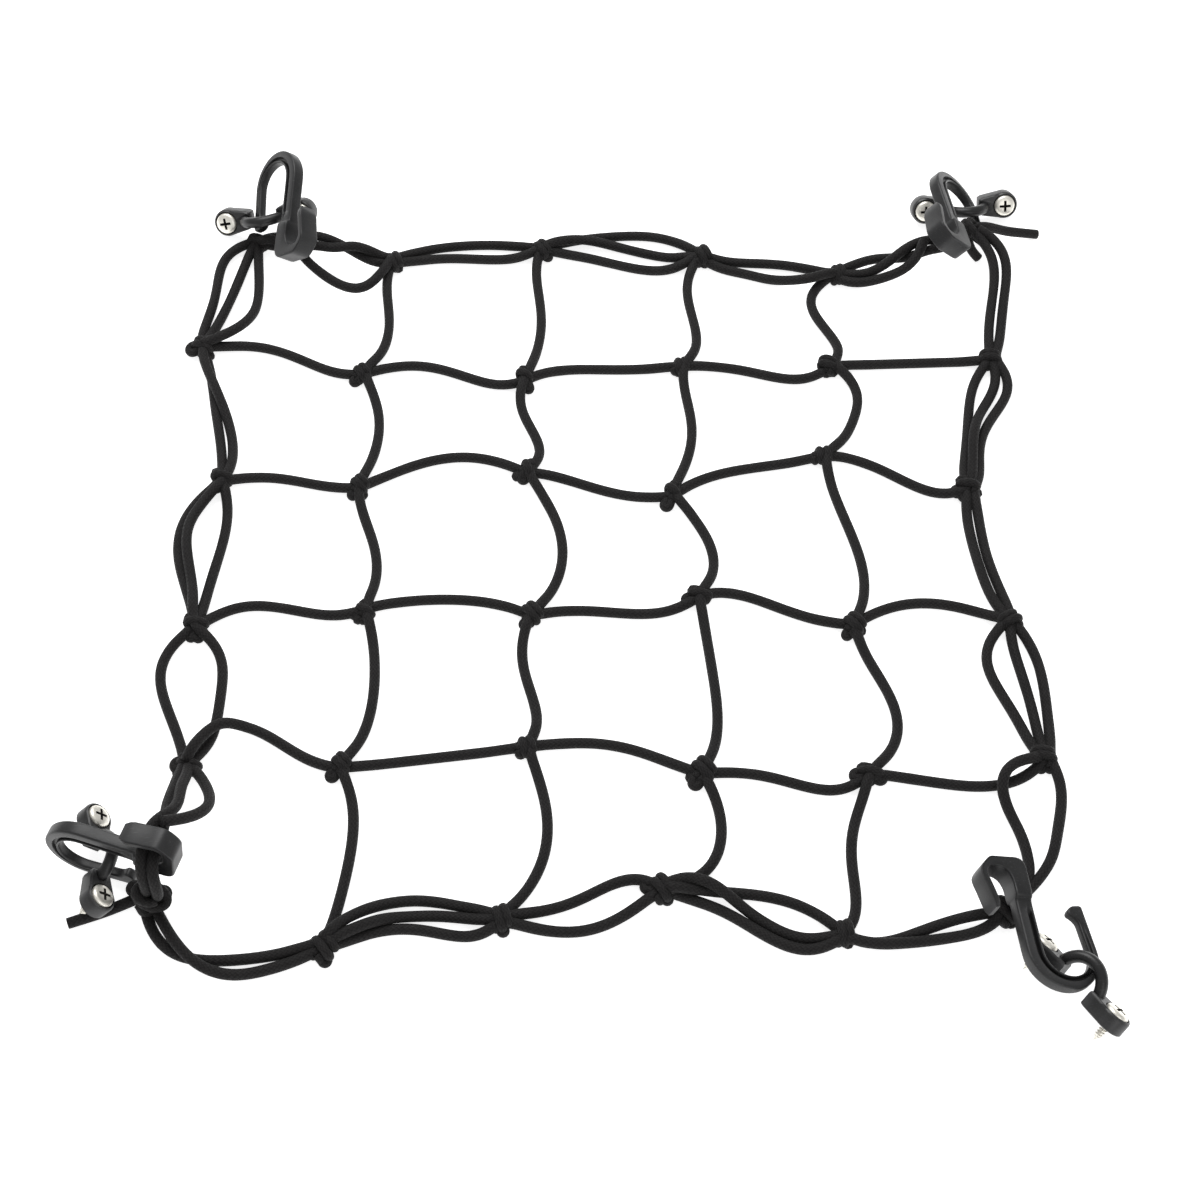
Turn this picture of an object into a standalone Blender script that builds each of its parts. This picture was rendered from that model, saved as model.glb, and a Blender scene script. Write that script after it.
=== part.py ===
"""A small cargo net of knotted cord, lying on a flat surface.

Four row cords and four column cords are knotted where they cross.  A border of two or three
strands ties their ends together.  In each corner the border runs by way of the eye of a moulded
J-hook to a corner knot, and each hook holds a moulded pad eye with its two screws.

The tables are in millimetres, in the plan of the net as it lies: X to the right, Y away from the
front, Z up from the surface.  Meshes are in metres.
"""
import math

import bmesh
import bpy
from mathutils import Euler, Matrix, Vector

MM = 0.001
GAP = 0.3                          # between pieces that touch

# ---- the whole object in the plan
PLAN_CENTRE = (-4.4, -8.7)         # middle of the outer box, which becomes the origin

# ---- cord
CORD = 5.0                         # diameter
CORD_SIDES = 6
CORD_RADIUS = 0.55 * CORD          # of the six-sided section with the round cord's area
CORD_REST = CORD_RADIUS * math.cos(math.pi / CORD_SIDES)   # height of a resting cord's middle
RING_STEP = 20.0                   # distance between the sections of a tube
CURVE_STEPS = 48                   # fine steps of a bowed span before it is divided

# ---- knots, as stacks of rings: height, radius
KNOT_SIDES = 6
BORDER_KNOT = ((0.1, 6.2), (5.0, 7.2), (10.0, 5.6))
CORNER_KNOT = ((0.1, 6.0), (4.4, 7.4), (8.0, 6.6), (11.0, 4.2))
FLAT_CORNER_KNOT = ((0.1, 6.2), (3.6, 7.2), (6.9, 4.6))
RAISED_CORNER_KNOT = ((0.1, 3.4), (3.4, 7.0), (7.0, 6.8), (9.6, 4.2))
LOWER_KNOT = ((0.1, 5.2), (2.6, 6.4), (4.85, 6.1))
UPPER_KNOT = ((5.15, 6.1), (7.6, 6.4), (10.0, 4.6))
BORDER_KNOT_REACH = 7.7
CORNER_KNOT_CLEAR = 0.6            # from a corner knot to the strands that end at it
KNOT_ENTRY = 5.0                   # height at which a strand enters a border knot
ENTRY_REACH = 14.0                 # distance in which it comes down to rest
STRAND_START = 2.5                 # strands begin this far from the middle of their knot

# ---- column cords pass over row cords
OVER_HEIGHT = 7.6                  # height of the upper cord's middle in a knot
OVER_FLAT = 8.0                    # it stays up this far from the knot
OVER_SLOPE = 12.0                  # and comes down in this distance
BUMP_REACH = 0.35                  # half length of a raised stretch, as a part of its span

# Knots in the plan (x, y), rows a to f from back to front, columns 0 to 5 from left to right
KNOTS = {
    "a": ((-179, 196), (-108, 181), (-31, 190), (51, 186), (120, 172), (190.5, 192.5)),
    "b": ((-201, 124), (-119, 108), (-37, 104), (42, 113), (116, 113), (197, 116)),
    "c": ((-183, 40), (-117, 37), (-36, 46), (35, 32), (110, 57), (179, 36)),
    "d": ((-188, -44), (-110, -33), (-32, -37), (46, -26), (118, -42), (191, -40)),
    "e": ((-185, -117), (-117, -118), (-33, -107), (45, -121), (120, -121), (200, -114)),
    "f": ((-196, -181), (-118, -205), (-43, -193), (27, -178), (104, -200), (174, -189.5)),
}
INNER_ROWS = "bcde"
INNER_COLUMNS = (1, 2, 3, 4)

# Sideways bow of each span at its quarter, middle and three quarters, to the left of its travel
ROW_BOWS = {
    "b": ((7, 6, 0), (7, 5, -2), (5, 3, 1), (0, -4, -8), (1, 1, 1)),
    "c": ((5, 4, 1), (9, 14, 12), (1, -2, -3), (6, 5, 2), (2, -2, -6)),
    "d": ((10, 7, 0), (6, 8, 7), (1, -3, -6), (6, 3, 0), (10, 12, 8)),
    "e": ((21, 17, 6), (0, 0, 0), (6, 8, 5), (1, -3, -8), (-4, -9, -10)),
}
COLUMN_BOWS = {
    1: ((1, 6, 7), (7, 9, 6), (2, 6, 6), (7, 10, 9), (8, 8, 5)),
    2: ((0, 4, 4), (-3, 2, 7), (11, 16, 13), (-4, -1, 4), (10, 15, 12)),
    3: ((-4, 0, 5), (3, 7, 5), (8, 12, 11), (4, 7, 8), (13, 18, 16)),
    4: ((-11, -6, 3), (14, 14, 10), (2, 7, 9), (6, 14, 15), (-2, -2, 3)),
}

# Where a net cord passes over a border strand: place in the plan and rise
NET_CORD_LIFTS = {
    "row_cord_e": (-178, -104.5, 7.4),
}

# Points where the strands part again beside a hook's eye
PARTINGS = {
    "a0_upper": (-145.2, 184.7, 18.3),
    "a0_lower": (-153.9, 177.9, 12),
    "a5_eye": (166, 181.2, 17.8),
    "f0_eye": (-187.4, -164.9, 37.7),
    "f5_eye": (190, -172, 4),
}

# Border strands: the knots or partings that they join, their bows, and how much and where they
# pass over a neighbour (lift in millimetres, place as a part of the span)
BORDER_STRANDS = {
    "border_back": (
        ("a0_upper", "a1", (0, 1, 1), 4.8, 0.5),
        ("a0_upper", "a1", (0, 0, -1), 0, 0.5),
        ("a0_lower", "a1", (-11, -18, -16), 3.0, 0.95),
        ("a1", "a2", (8, 9, 7), 0, 0.5),
        ("a1", "a2", (2, 0, -3), 0, 0.5),
        ("a2", "a3", (9, 13, 13), 0, 0.5),
        ("a2", "a3", (7, 5, 0), 3.0, 0.2),
        ("a2", "a3", (-2, -7, -10), 0, 0.5),
        ("a3", "a4", (0, 3, 4), 0, 0.5),
        ("a3", "a4", (-5, -7, -9), 6.0, 0.85),
        ("a4", "a5_eye", (3, 3, 0), 0, 0.5),
        ("a4", "a5_eye", (-4, -7, -4), 3.0, 0.6),
        ("a4", "a5_eye", (-9, -11, -11), 0, 0.5),
    ),
    "border_left": (
        ("a0", "b0", (-12, -8, -5), 0, 0.5),
        ("a0", "b0", (0, 1, 1), 0, 0.5),
        ("a0", "b0", (8, 15, 15), 5.0, 0.85),
        ("b0", "c0", (2, 2, 2), 0, 0.5),
        ("b0", "c0", (2, 6, 7), 4.8, 0.3),
        ("c0", "d0", (-14, -15, -6), 0, 0.5),
        ("c0", "d0", (-12, -11, -5), 4.8, 0.45),
        ("c0", "d0", (5, 4, 1), 0, 0.5),
        ("d0", "e0", (-15, -13, -6), 0, 0.5),
        ("d0", "e0", (13, 13, 11), 0, 0.5),
        ("e0", "f0_eye", (-1, -1, -1), 0, 0.5),
        ("e0", "f0_eye", (2, 3, 5), 3.5, 0.4),
        ("e0", "f0_eye", (10, 16, 16), 0, 0.5),
    ),
    "border_right": (
        ("a5", "b5", (10, 7, 2), 0, 0.5),
        ("a5", "b5", (16, 13, 8), 0, 0.5),
        ("b5", "c5", (-7, -6, -4), 0, 0.5),
        ("b5", "c5", (3, -2, -1), 4.8, 0.6),
        ("b5", "c5", (10, 3, 1), 0, 0.5),
        ("c5", "d5", (-5, -6, -5), 0, 0.5),
        ("c5", "d5", (0, -1, 0), 0, 0.5),
        ("d5", "e5", (-15, -12, -6), 0, 0.5),
        ("d5", "e5", (-1, 0, 0), 0, 0.5),
        ("d5", "e5", (8, 8, 5), 0, 0.5),
        ("e5", "f5_eye", (-19, -14, -5), 7.0, 0.2),
        ("e5", "f5_eye", (8, 8, 6), 0, 0.5),
    ),
    "border_front": (
        ("f0", "f1", (-22, -20, -12), 0, 0.5),
        ("f0", "f1", (-18, -26, -17), 4.8, 0.33),
        ("f1", "f2", (13, 16, 10), 5.0, 0.1),
        ("f1", "f2", (6, 8, 6), 4.0, 0.2),
        ("f1", "f2", (4, 3, -4), 0, 0.5),
        ("f2", "f3", (1, 3, 8), 0, 0.5),
        ("f2", "f3", (-8, -12, -8), 0, 0.5),
        ("f3", "f4", (5, 9, 9), 5.6, 0.1),
        ("f3", "f4", (5, -2, -7), 5.8, 0.2),
        ("f3", "f4", (-1, -5, -10), 0, 0.5),
        ("f4", "f5", (-6, -3, 0), 0, 0.5),
        ("f4", "f5", (-8, -8, -8), 4.0, 0.2),
    ),
}
BORDER_KNOTS = {
    "border_back": ("a1", "a2", "a3", "a4"),
    "border_left": ("b0", "c0", "d0", "e0"),
    "border_right": ("b5", "c5", "d5", "e5"),
    "border_front": ("f1", "f2", "f3", "f4"),
}

PAIR_WIDTH = 5.1                   # half width of two cords side by side

# Where a border passes a hook's eye its strands lie side by side: half width, its direction, and
# the route from beside the corner knot to just past the parting
EYE_ROUTES = {
    "border_back": (
        (PAIR_WIDTH, (-0.08, -0.92, -0.38),
         ((-171.0, 193.4, 7.2), (-163.5, 188.8, 12), (-155.0, 184.7, 16.7), (-149, 184.1, 18.2),
          (-144, 184.8, 18.2))),
        (CORD_RADIUS, (0.9, -0.3, 0.3),
         ((-163.5, 188.8, 12), (-157.0, 183.5, 11.5), (-153.9, 177.9, 12), (-152.3, 174.8, 12))),
        (PAIR_WIDTH, (0.16, -0.99, 0.0),
         ((184.5, 187.7, 16.6), (181.0, 185.4, 16.4), (176.5, 183, 17), (170.5, 181.4, 18),
          (164.5, 181.2, 17.8))),
    ),
    "border_left": (
        (PAIR_WIDTH, (0.95, -0.29, -0.1),
         ((-193.4, -184, 12.5), (-190.6, -188.2, 18), (-189.2, -190, 27), (-189.8, -188.5, 35),
          (-191, -183, 38.6), (-190.2, -174.5, 38.3), (-187.0, -163.4, 37.5))),
    ),
    "border_right": (
        (PAIR_WIDTH, (-0.71, -0.71, 0.0),
         ((180.0, -183.4, 3.1), (184, -179, 3.1), (191, -171, 3.4))),
    ),
    "border_front": (),
}

# Corner knots: label, height of the underside, girth, rings
CORNER_KNOTS = {
    "back_left": ("a0", 0.0, 1.0, FLAT_CORNER_KNOT),
    "back_right": ("a5", 13.3, 1.0, RAISED_CORNER_KNOT),
    "front_left": ("f0", 0.0, 1.12, CORNER_KNOT),
    "front_right": ("f5", 0.0, 1.09, CORNER_KNOT),
}

# Free ends at the corner knots
TAILS = {
    "back_right": (((190.5, 192.5, 18), (199, 195.3, 17), (212, 199.5, 8), (229.2, 202.6, 2.5)),
                   ((190.5, 191.0, 14), (191.5, 187.5, 8), (197, 186, 2.6))),
    "front_left": (((-196, -181, 4.5), (-212, -188.0, 3.0), (-229, -193.9, 2.5)),),
}

# ---- hook, in its own plan: X across from the outer rim of the shank, Y along it to the head
HOOK_RIM = 4.0                     # from the outer rim of the shank to the bar's middle line
SHANK_DEPTH = 7.8                  # of the I section, across the hook's plane
SHANK_WIDTH = 6.4
TIP_DEPTH = 4.4                    # the bar tapers round the bend to its tip
TIP_WIDTH = 4.4
HOOK_BEND_RADIUS = 14.1            # middle of the section
HOOK_BEND_START = 180.0            # degrees round the bend's centre
HOOK_BEND_END = 365.5              # past a half turn, so the tip leans to the shank
HOOK_BEND_STEPS = 9
HOOK_TIP_LENGTH = 22.0
HOOK_LENGTH = 43.6                 # from the bend to the top of the head
HOOK_OVERLAP = 13.0                # of the shank inside the head
GROOVE_DEPTH = 0.3                 # parts of the half section: depth of the groove and where it runs
GROOVE = (0.15, 0.6)
BARB = 3.4                         # the tip widens this much towards the shank
BARB_LENGTH = 7.0
HEAD_WIDTH = 10.5
# Outline of the head from the top of the shank round the eye: x, distance below the top
HEAD_OUTLINE = (
    (8, 18), (8, 3), (5.5, 0), (-8, 0), (-14.5, 7.5), (-11, 25),
    (-8, 24.2), (-11.3, 8.8), (-8.5, 5), (-3.5, 5.5), (-0.5, 9), (0, 14), (0, 18),
)

# ---- pad eye, in its own frame: X along the feet, Z out of the base
SCREW_SPACING = 42.0
FOOT_THICKNESS = 7.5
FOOT_RADIUS = 7.0
FOOT_ARC = 110.0                   # degrees each side
FOOT_ARC_STEPS = 8
FOOT_INNER_END = 7.6
FOOT_INNER_WIDTH = 9.0
COUNTERBORE_RADIUS = 5.9
COUNTERBORE_DEPTH = 1.6
SCREW_HOLE_RADIUS = 2.4
ARCH_HALF_WIDTH = 10.8
ARCH_SPRING = 3.5
ARCH_RISE = 12.0
ARCH_BAR_RADIUS = 2.75
ARCH_SIDES = 8
ARCH_STEPS = 9

# ---- screw: half profile from its tip to the top of its head, radius and height over the base
SCREW_SIDES = 8
SCREW_PROFILE = ((2.0, -5.0), (2.0, 6.2), (5.4, 6.2), (5.3, 7.6), (3.4, 9.2))
SCREW_TIP = -8.5

# ---- where hooks and pad eyes lie: location, then rotation about X, Y and Z in degrees
HOOK_PLACES = {
    "back_left": ((-154.5, 209.1, 38.3), (-30.1, 39.5, 155.0)),
    "back_right": ((172.9, 209.9, 29.7), (-180.3, 44.1, 9.7)),
    "front_left": ((-220.0, -165.9, 36.0), (-60.0, 83.2, -166.5)),
    "front_right": ((177.7, -215.4, 20.2), (-3.2, 18.6, 5.3)),
}
PAD_EYE_PLACES = {
    "back_left": ((-173.3, 207.2, 12.1), (56.6, -16.7, -6.2)),
    "back_right": ((191.0, 219.9, 6.2), (57.2, 0.1, 5.7)),
    "front_left": ((-221.3, -168.2, 8.4), (-48.6, -6.8, -80.0)),
    "front_right": ((198.0, -226.7, 7.3), (-50.0, -4.3, -52.9)),
}


def clear_scene():
    for old in list(bpy.data.objects):
        bpy.data.objects.remove(old, do_unlink=True)


def principled(name, colour, roughness, metallic=0.0):
    material = bpy.data.materials.new(name)
    material.use_nodes = True
    shader = material.node_tree.nodes["Principled BSDF"]
    shader.inputs["Base Color"].default_value = (*colour, 1.0)
    shader.inputs["Roughness"].default_value = roughness
    shader.inputs["Metallic"].default_value = metallic
    material.diffuse_color = (*colour, 1.0)
    return material


# ---------------------------------------------------------------- curves in the plan

def knot_xy(label):
    return Vector(KNOTS[label[0]][int(label[1])])


def bow_at(part, bows):
    """Sideways distance at a part of a span: the quartic through its three bows and its ends."""
    places = (0.0, 0.25, 0.5, 0.75, 1.0)
    values = (0.0, *bows, 0.0)
    total = 0.0
    for i, (place, value) in enumerate(zip(places, values)):
        weight = 1.0
        for j, other in enumerate(places):
            if j != i:
                weight *= (part - other) / (place - other)
        total += weight * value
    return total


def bowed_span(start, end, bows):
    """Fine points of a span as (point in the plan, part of the span)."""
    chord = end - start
    left = Vector((-chord.y, chord.x)).normalized()
    points = []
    for step in range(CURVE_STEPS + 1):
        part = step / CURVE_STEPS
        points.append((start + chord * part + left * bow_at(part, bows), part))
    return points


def smooth(value):
    value = min(max(value, 0.0), 1.0)
    return value * value * (3.0 - 2.0 * value)


def divided(points, step):
    """The same line with sections about one step apart."""
    lengths = [0.0]
    for before, after in zip(points, points[1:]):
        lengths.append(lengths[-1] + (after - before).length)
    count = max(2, round(lengths[-1] / step))
    result = []
    index = 0
    for section in range(count + 1):
        target = lengths[-1] * section / count
        while index < len(points) - 2 and lengths[index + 1] < target:
            index += 1
        part = (target - lengths[index]) / (lengths[index + 1] - lengths[index])
        result.append(points[index].lerp(points[index + 1], min(part, 1.0)))
    return result


def strand_points(start, end, bows, lift, lift_at, cut_start, cut_end):
    """A border strand: it comes down from its ends' heights and rises where it passes over."""
    start_xy = Vector(start[:2])
    end_xy = Vector(end[:2])
    chord = (end_xy - start_xy).length
    start_reach = ENTRY_REACH if start[2] == KNOT_ENTRY else chord
    end_reach = ENTRY_REACH if end[2] == KNOT_ENTRY else chord
    points = []
    for place, part in bowed_span(start_xy, end_xy, bows):
        from_start = (place - start_xy).length
        from_end = (place - end_xy).length
        if from_start < cut_start or from_end < cut_end:
            continue
        height = CORD_REST
        height += (start[2] - CORD_REST) * max(0.0, 1.0 - chord * part / start_reach)
        height += (end[2] - CORD_REST) * max(0.0, 1.0 - chord * (1.0 - part) / end_reach)
        height += lift * smooth(1.0 - abs(part - lift_at) / BUMP_REACH)
        points.append(Vector((place.x, place.y, height)))
    return divided(points, RING_STEP)


def net_cord_points(name, labels, bows, over):
    """A row or column cord through its inner knots; it stops short of the border knots."""
    knots = [knot_xy(label) for label in labels]
    clear = BORDER_KNOT_REACH + GAP
    lift = NET_CORD_LIFTS.get(name)
    points = []
    for number, span_bows in enumerate(bows):
        for place, part in bowed_span(knots[number], knots[number + 1], span_bows):
            if part == 0.0 and number:
                continue
            if min((place - knots[0]).length, (place - knots[-1]).length) < clear:
                continue
            height = CORD_REST
            if over:
                away = min((place - knot).length for knot in knots[1:-1])
                rise = 1.0 - smooth((away - OVER_FLAT) / OVER_SLOPE)
                height += (OVER_HEIGHT - CORD_REST) * rise
            if lift:
                away = (place - Vector(lift[:2])).length
                height += lift[2] * (1.0 - smooth((away - OVER_FLAT) / OVER_SLOPE))
            points.append(Vector((place.x, place.y, height)))
    return points


def sections_over(points, crossings):
    """Sections of a cord that is raised at some places: level on top of each."""
    lengths = [0.0]
    for before, after in zip(points, points[1:]):
        lengths.append(lengths[-1] + (after - before).length)
    marks = [0.0, lengths[-1]]
    for crossing in crossings:
        nearest = min(range(len(points)), key=lambda i: (points[i].xy - crossing).length)
        middle = lengths[nearest]
        for away in (OVER_FLAT, OVER_FLAT + OVER_SLOPE):
            marks += [middle - away, middle + away]
    marks = sorted(min(max(mark, 0.0), lengths[-1]) for mark in marks)
    filled = []
    for before, after in zip(marks, marks[1:]):
        if after - before < CORD / 2:
            continue
        parts = max(1, round((after - before) / RING_STEP))
        filled += [before + (after - before) * i / parts for i in range(parts)]
    filled.append(marks[-1])
    result = []
    index = 0
    for target in filled:
        while index < len(points) - 2 and lengths[index + 1] < target:
            index += 1
        part = (target - lengths[index]) / (lengths[index + 1] - lengths[index])
        result.append(points[index].lerp(points[index + 1], min(part, 1.0)))
    return result


# ---------------------------------------------------------------- solids

def add_tube(bm, points, half_width=CORD_RADIUS, across=None):
    """A six-sided tube along points, with a flat underside; across fixes its wide direction."""
    rings = []
    for index, point in enumerate(points):
        before = points[max(index - 1, 0)]
        after = points[min(index + 1, len(points) - 1)]
        tangent = (after - before).normalized()
        side = Vector(across) if across else tangent.cross(Vector((0.0, 0.0, 1.0)))
        side = (side - tangent * side.dot(tangent)).normalized()
        upright = side.cross(tangent)
        ring = []
        for corner in range(CORD_SIDES):
            angle = 2.0 * math.pi * corner / CORD_SIDES
            offset = side * (half_width * math.cos(angle))
            offset += upright * (CORD_RADIUS * math.sin(angle))
            ring.append(bm.verts.new((point + offset) * MM))
        rings.append(ring)
    join_rings(bm, rings)


def add_stack(bm, centre, stack, sides, turn=0.5):
    """A closed stack of level rings round a centre, such as a knot: each ring is height, radius."""
    rings = []
    for height, radius in stack:
        ring = []
        for corner in range(sides):
            angle = 2.0 * math.pi * (corner + turn) / sides
            place = (centre[0] + radius * math.cos(angle), centre[1] + radius * math.sin(angle))
            ring.append(bm.verts.new(Vector((*place, height)) * MM))
        rings.append(ring)
    join_rings(bm, rings)


def join_rings(bm, rings):
    sides = len(rings[0])
    for lower, upper in zip(rings, rings[1:]):
        for corner in range(sides):
            following = (corner + 1) % sides
            bm.faces.new((lower[corner], lower[following], upper[following], upper[corner]))
    bm.faces.new(list(reversed(rings[0])))
    bm.faces.new(rings[-1])


def new_object(name, bm, material, parent):
    bmesh.ops.recalc_face_normals(bm, faces=bm.faces)
    mesh = bpy.data.meshes.new(name)
    bm.to_mesh(mesh)
    bm.free()
    mesh.materials.append(material)
    piece = bpy.data.objects.new(name, mesh)
    bpy.context.collection.objects.link(piece)
    piece.parent = parent
    return piece


def helper_object(name, bm, material, parent):
    helper = new_object(name, bm, material, parent)
    helper.hide_render = True
    helper.display_type = "WIRE"
    return helper


def combine(piece, helper, operation, join_own=False):
    modifier = piece.modifiers.new(helper.name, "BOOLEAN")
    modifier.operation = operation
    modifier.solver = "EXACT"
    modifier.use_self = join_own
    modifier.object = helper


def keep_largest_body(mesh):
    """Removes the specks that a join can leave beside the one body."""
    bm = bmesh.new()
    bm.from_mesh(mesh)
    bmesh.ops.triangulate(bm, faces=bm.faces)
    left = set(bm.faces)
    bodies = []
    while left:
        body = set()
        reached = [left.pop()]
        while reached:
            face = reached.pop()
            body.add(face)
            for edge in face.edges:
                for other in edge.link_faces:
                    if len(edge.link_faces) == 2 and other in left:
                        left.remove(other)
                        reached.append(other)
        bodies.append(body)
    largest = max(bodies, key=len)
    specks = [face for body in bodies if body is not largest for face in body]
    bmesh.ops.delete(bm, geom=specks, context="FACES")
    bm.to_mesh(mesh)
    bm.free()


def joined_piece(name, tubes, knots, material, parent):
    """One node from tubes and knots that run into each other."""
    mesh = evaluated_mesh(new_object(name, tubes, material, None), [(knots, "UNION")], material, True)
    keep_largest_body(mesh)
    piece = bpy.data.objects.new(name, mesh)
    bpy.context.collection.objects.link(piece)
    piece.parent = parent


def border_end(label):
    """End of a strand with its height, and how far the strand stops from it."""
    if label in PARTINGS:
        return PARTINGS[label], 0.0
    for knot, underside, girth, rings in CORNER_KNOTS.values():
        if label == knot:
            reach = girth * max(radius for _, radius in rings)
            return (*knot_xy(label), KNOT_ENTRY + underside), reach + CORNER_KNOT_CLEAR
    return (*knot_xy(label), KNOT_ENTRY), STRAND_START


def make_border(name, material, parent):
    strands = bmesh.new()
    for first, last, bows, lift, lift_at in BORDER_STRANDS[name]:
        start, cut_start = border_end(first)
        end, cut_end = border_end(last)
        add_tube(strands, strand_points(start, end, bows, lift, lift_at, cut_start, cut_end))
    for half_width, across, route in EYE_ROUTES[name]:
        add_tube(strands, [Vector(point) for point in route], half_width, across)
    knots = bmesh.new()
    for label in BORDER_KNOTS[name]:
        add_stack(knots, knot_xy(label), BORDER_KNOT, KNOT_SIDES)
    joined_piece(name, strands, knots, material, parent)


def make_net_cord(name, labels, bows, over, material, parent):
    points = net_cord_points(name, labels, bows, over)
    inner = [knot_xy(label) for label in labels[1:-1]]
    cord = bmesh.new()
    crossings = list(inner) if over else []
    if name in NET_CORD_LIFTS:
        crossings.append(Vector(NET_CORD_LIFTS[name][:2]))
    add_tube(cord, sections_over(points, crossings) if crossings else divided(points, RING_STEP))
    knots = bmesh.new()
    for knot in inner:
        add_stack(knots, knot, UPPER_KNOT if over else LOWER_KNOT, KNOT_SIDES)
    joined_piece(name, cord, knots, material, parent)


def make_corner_lashing(corner, material, parent):
    label, underside, girth, rings = CORNER_KNOTS[corner]
    name = "corner_lashing_" + corner
    knot = bmesh.new()
    stack = [(underside + height, girth * radius) for height, radius in rings]
    add_stack(knot, knot_xy(label), stack, KNOT_SIDES)
    if corner in TAILS:
        ends = bmesh.new()
        for route in TAILS[corner]:
            add_tube(ends, [Vector(point) for point in route])
        joined_piece(name, ends, knot, material, parent)
    else:
        new_object(name, knot, material, parent)


# ---------------------------------------------------------------- hook

def hook_sections():
    """Middle line of the hook's bar: point, direction to the bend's centre, taper, barb."""
    centre = Vector((HOOK_RIM + HOOK_BEND_RADIUS, 0.0))
    shank_top = Vector((HOOK_RIM, HOOK_LENGTH - HOOK_OVERLAP))
    sections = [(shank_top, Vector((1.0, 0.0)), 0.0, 0.0)]
    for step in range(HOOK_BEND_STEPS + 1):
        part = step / HOOK_BEND_STEPS
        angle = math.radians(HOOK_BEND_START + part * (HOOK_BEND_END - HOOK_BEND_START))
        outward = Vector((math.cos(angle), math.sin(angle)))
        sections.append((centre + outward * HOOK_BEND_RADIUS, -outward, smooth(part), 0.0))
    last, inward, _, _ = sections[-1]
    along = Vector((inward.y, -inward.x))
    sections.append((last + along * (HOOK_TIP_LENGTH - BARB_LENGTH), inward, 1.0, 0.0))
    sections.append((last + along * (HOOK_TIP_LENGTH - BARB_LENGTH / 2), inward, 1.0, BARB))
    sections.append((last + along * HOOK_TIP_LENGTH, inward, 1.0, BARB / 4))
    return sections


def make_hook_mesh(material):
    near, far = GROOVE
    waist = 1.0 - GROOVE_DEPTH
    profile = (
        (-1, 1), (near, 1), (near, waist), (far, waist), (far, 1), (1, 1),
        (1, -1), (far, -1), (far, -waist), (near, -waist), (near, -1), (-1, -1),
    )
    bar = bmesh.new()
    rings = []
    for place, inward, taper, barb in hook_sections():
        half_depth = (SHANK_DEPTH + (TIP_DEPTH - SHANK_DEPTH) * taper) / 2
        half_width = (SHANK_WIDTH + (TIP_WIDTH - SHANK_WIDTH) * taper) / 2
        ring = []
        for depth, width in profile:
            across = depth * half_depth + (barb if depth == 1 else 0.0)
            corner = place + inward * across
            ring.append(bar.verts.new(Vector((*corner, width * half_width)) * MM))
        rings.append(ring)
    join_rings(bar, rings)
    hook = new_object("hook_shape", bar, material, None)
    head = bmesh.new()
    rings = []
    for width in (-HEAD_WIDTH / 2, HEAD_WIDTH / 2):
        ring = []
        for x, below in HEAD_OUTLINE:
            ring.append(head.verts.new(Vector((x, HOOK_LENGTH - below, width)) * MM))
        rings.append(ring)
    join_rings(head, rings)
    return evaluated_mesh(hook, [(head, "UNION")], material)


def evaluated_mesh(base, tools, material, join_own=False):
    """The base shape's mesh after its joins and cuts; the helpers are removed again."""
    helpers = []
    for number, (shape, operation) in enumerate(tools):
        helper = helper_object(base.name + "_tool_" + str(number), shape, material, None)
        combine(base, helper, operation, join_own)
        helpers.append(helper)
    bpy.context.view_layer.update()
    depsgraph = bpy.context.evaluated_depsgraph_get()
    mesh = bpy.data.meshes.new_from_object(base.evaluated_get(depsgraph))
    mesh.name = base.name
    for used in [base, *helpers]:
        bpy.data.objects.remove(used, do_unlink=True)
    return mesh


# ---------------------------------------------------------------- pad eye and screw

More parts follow.
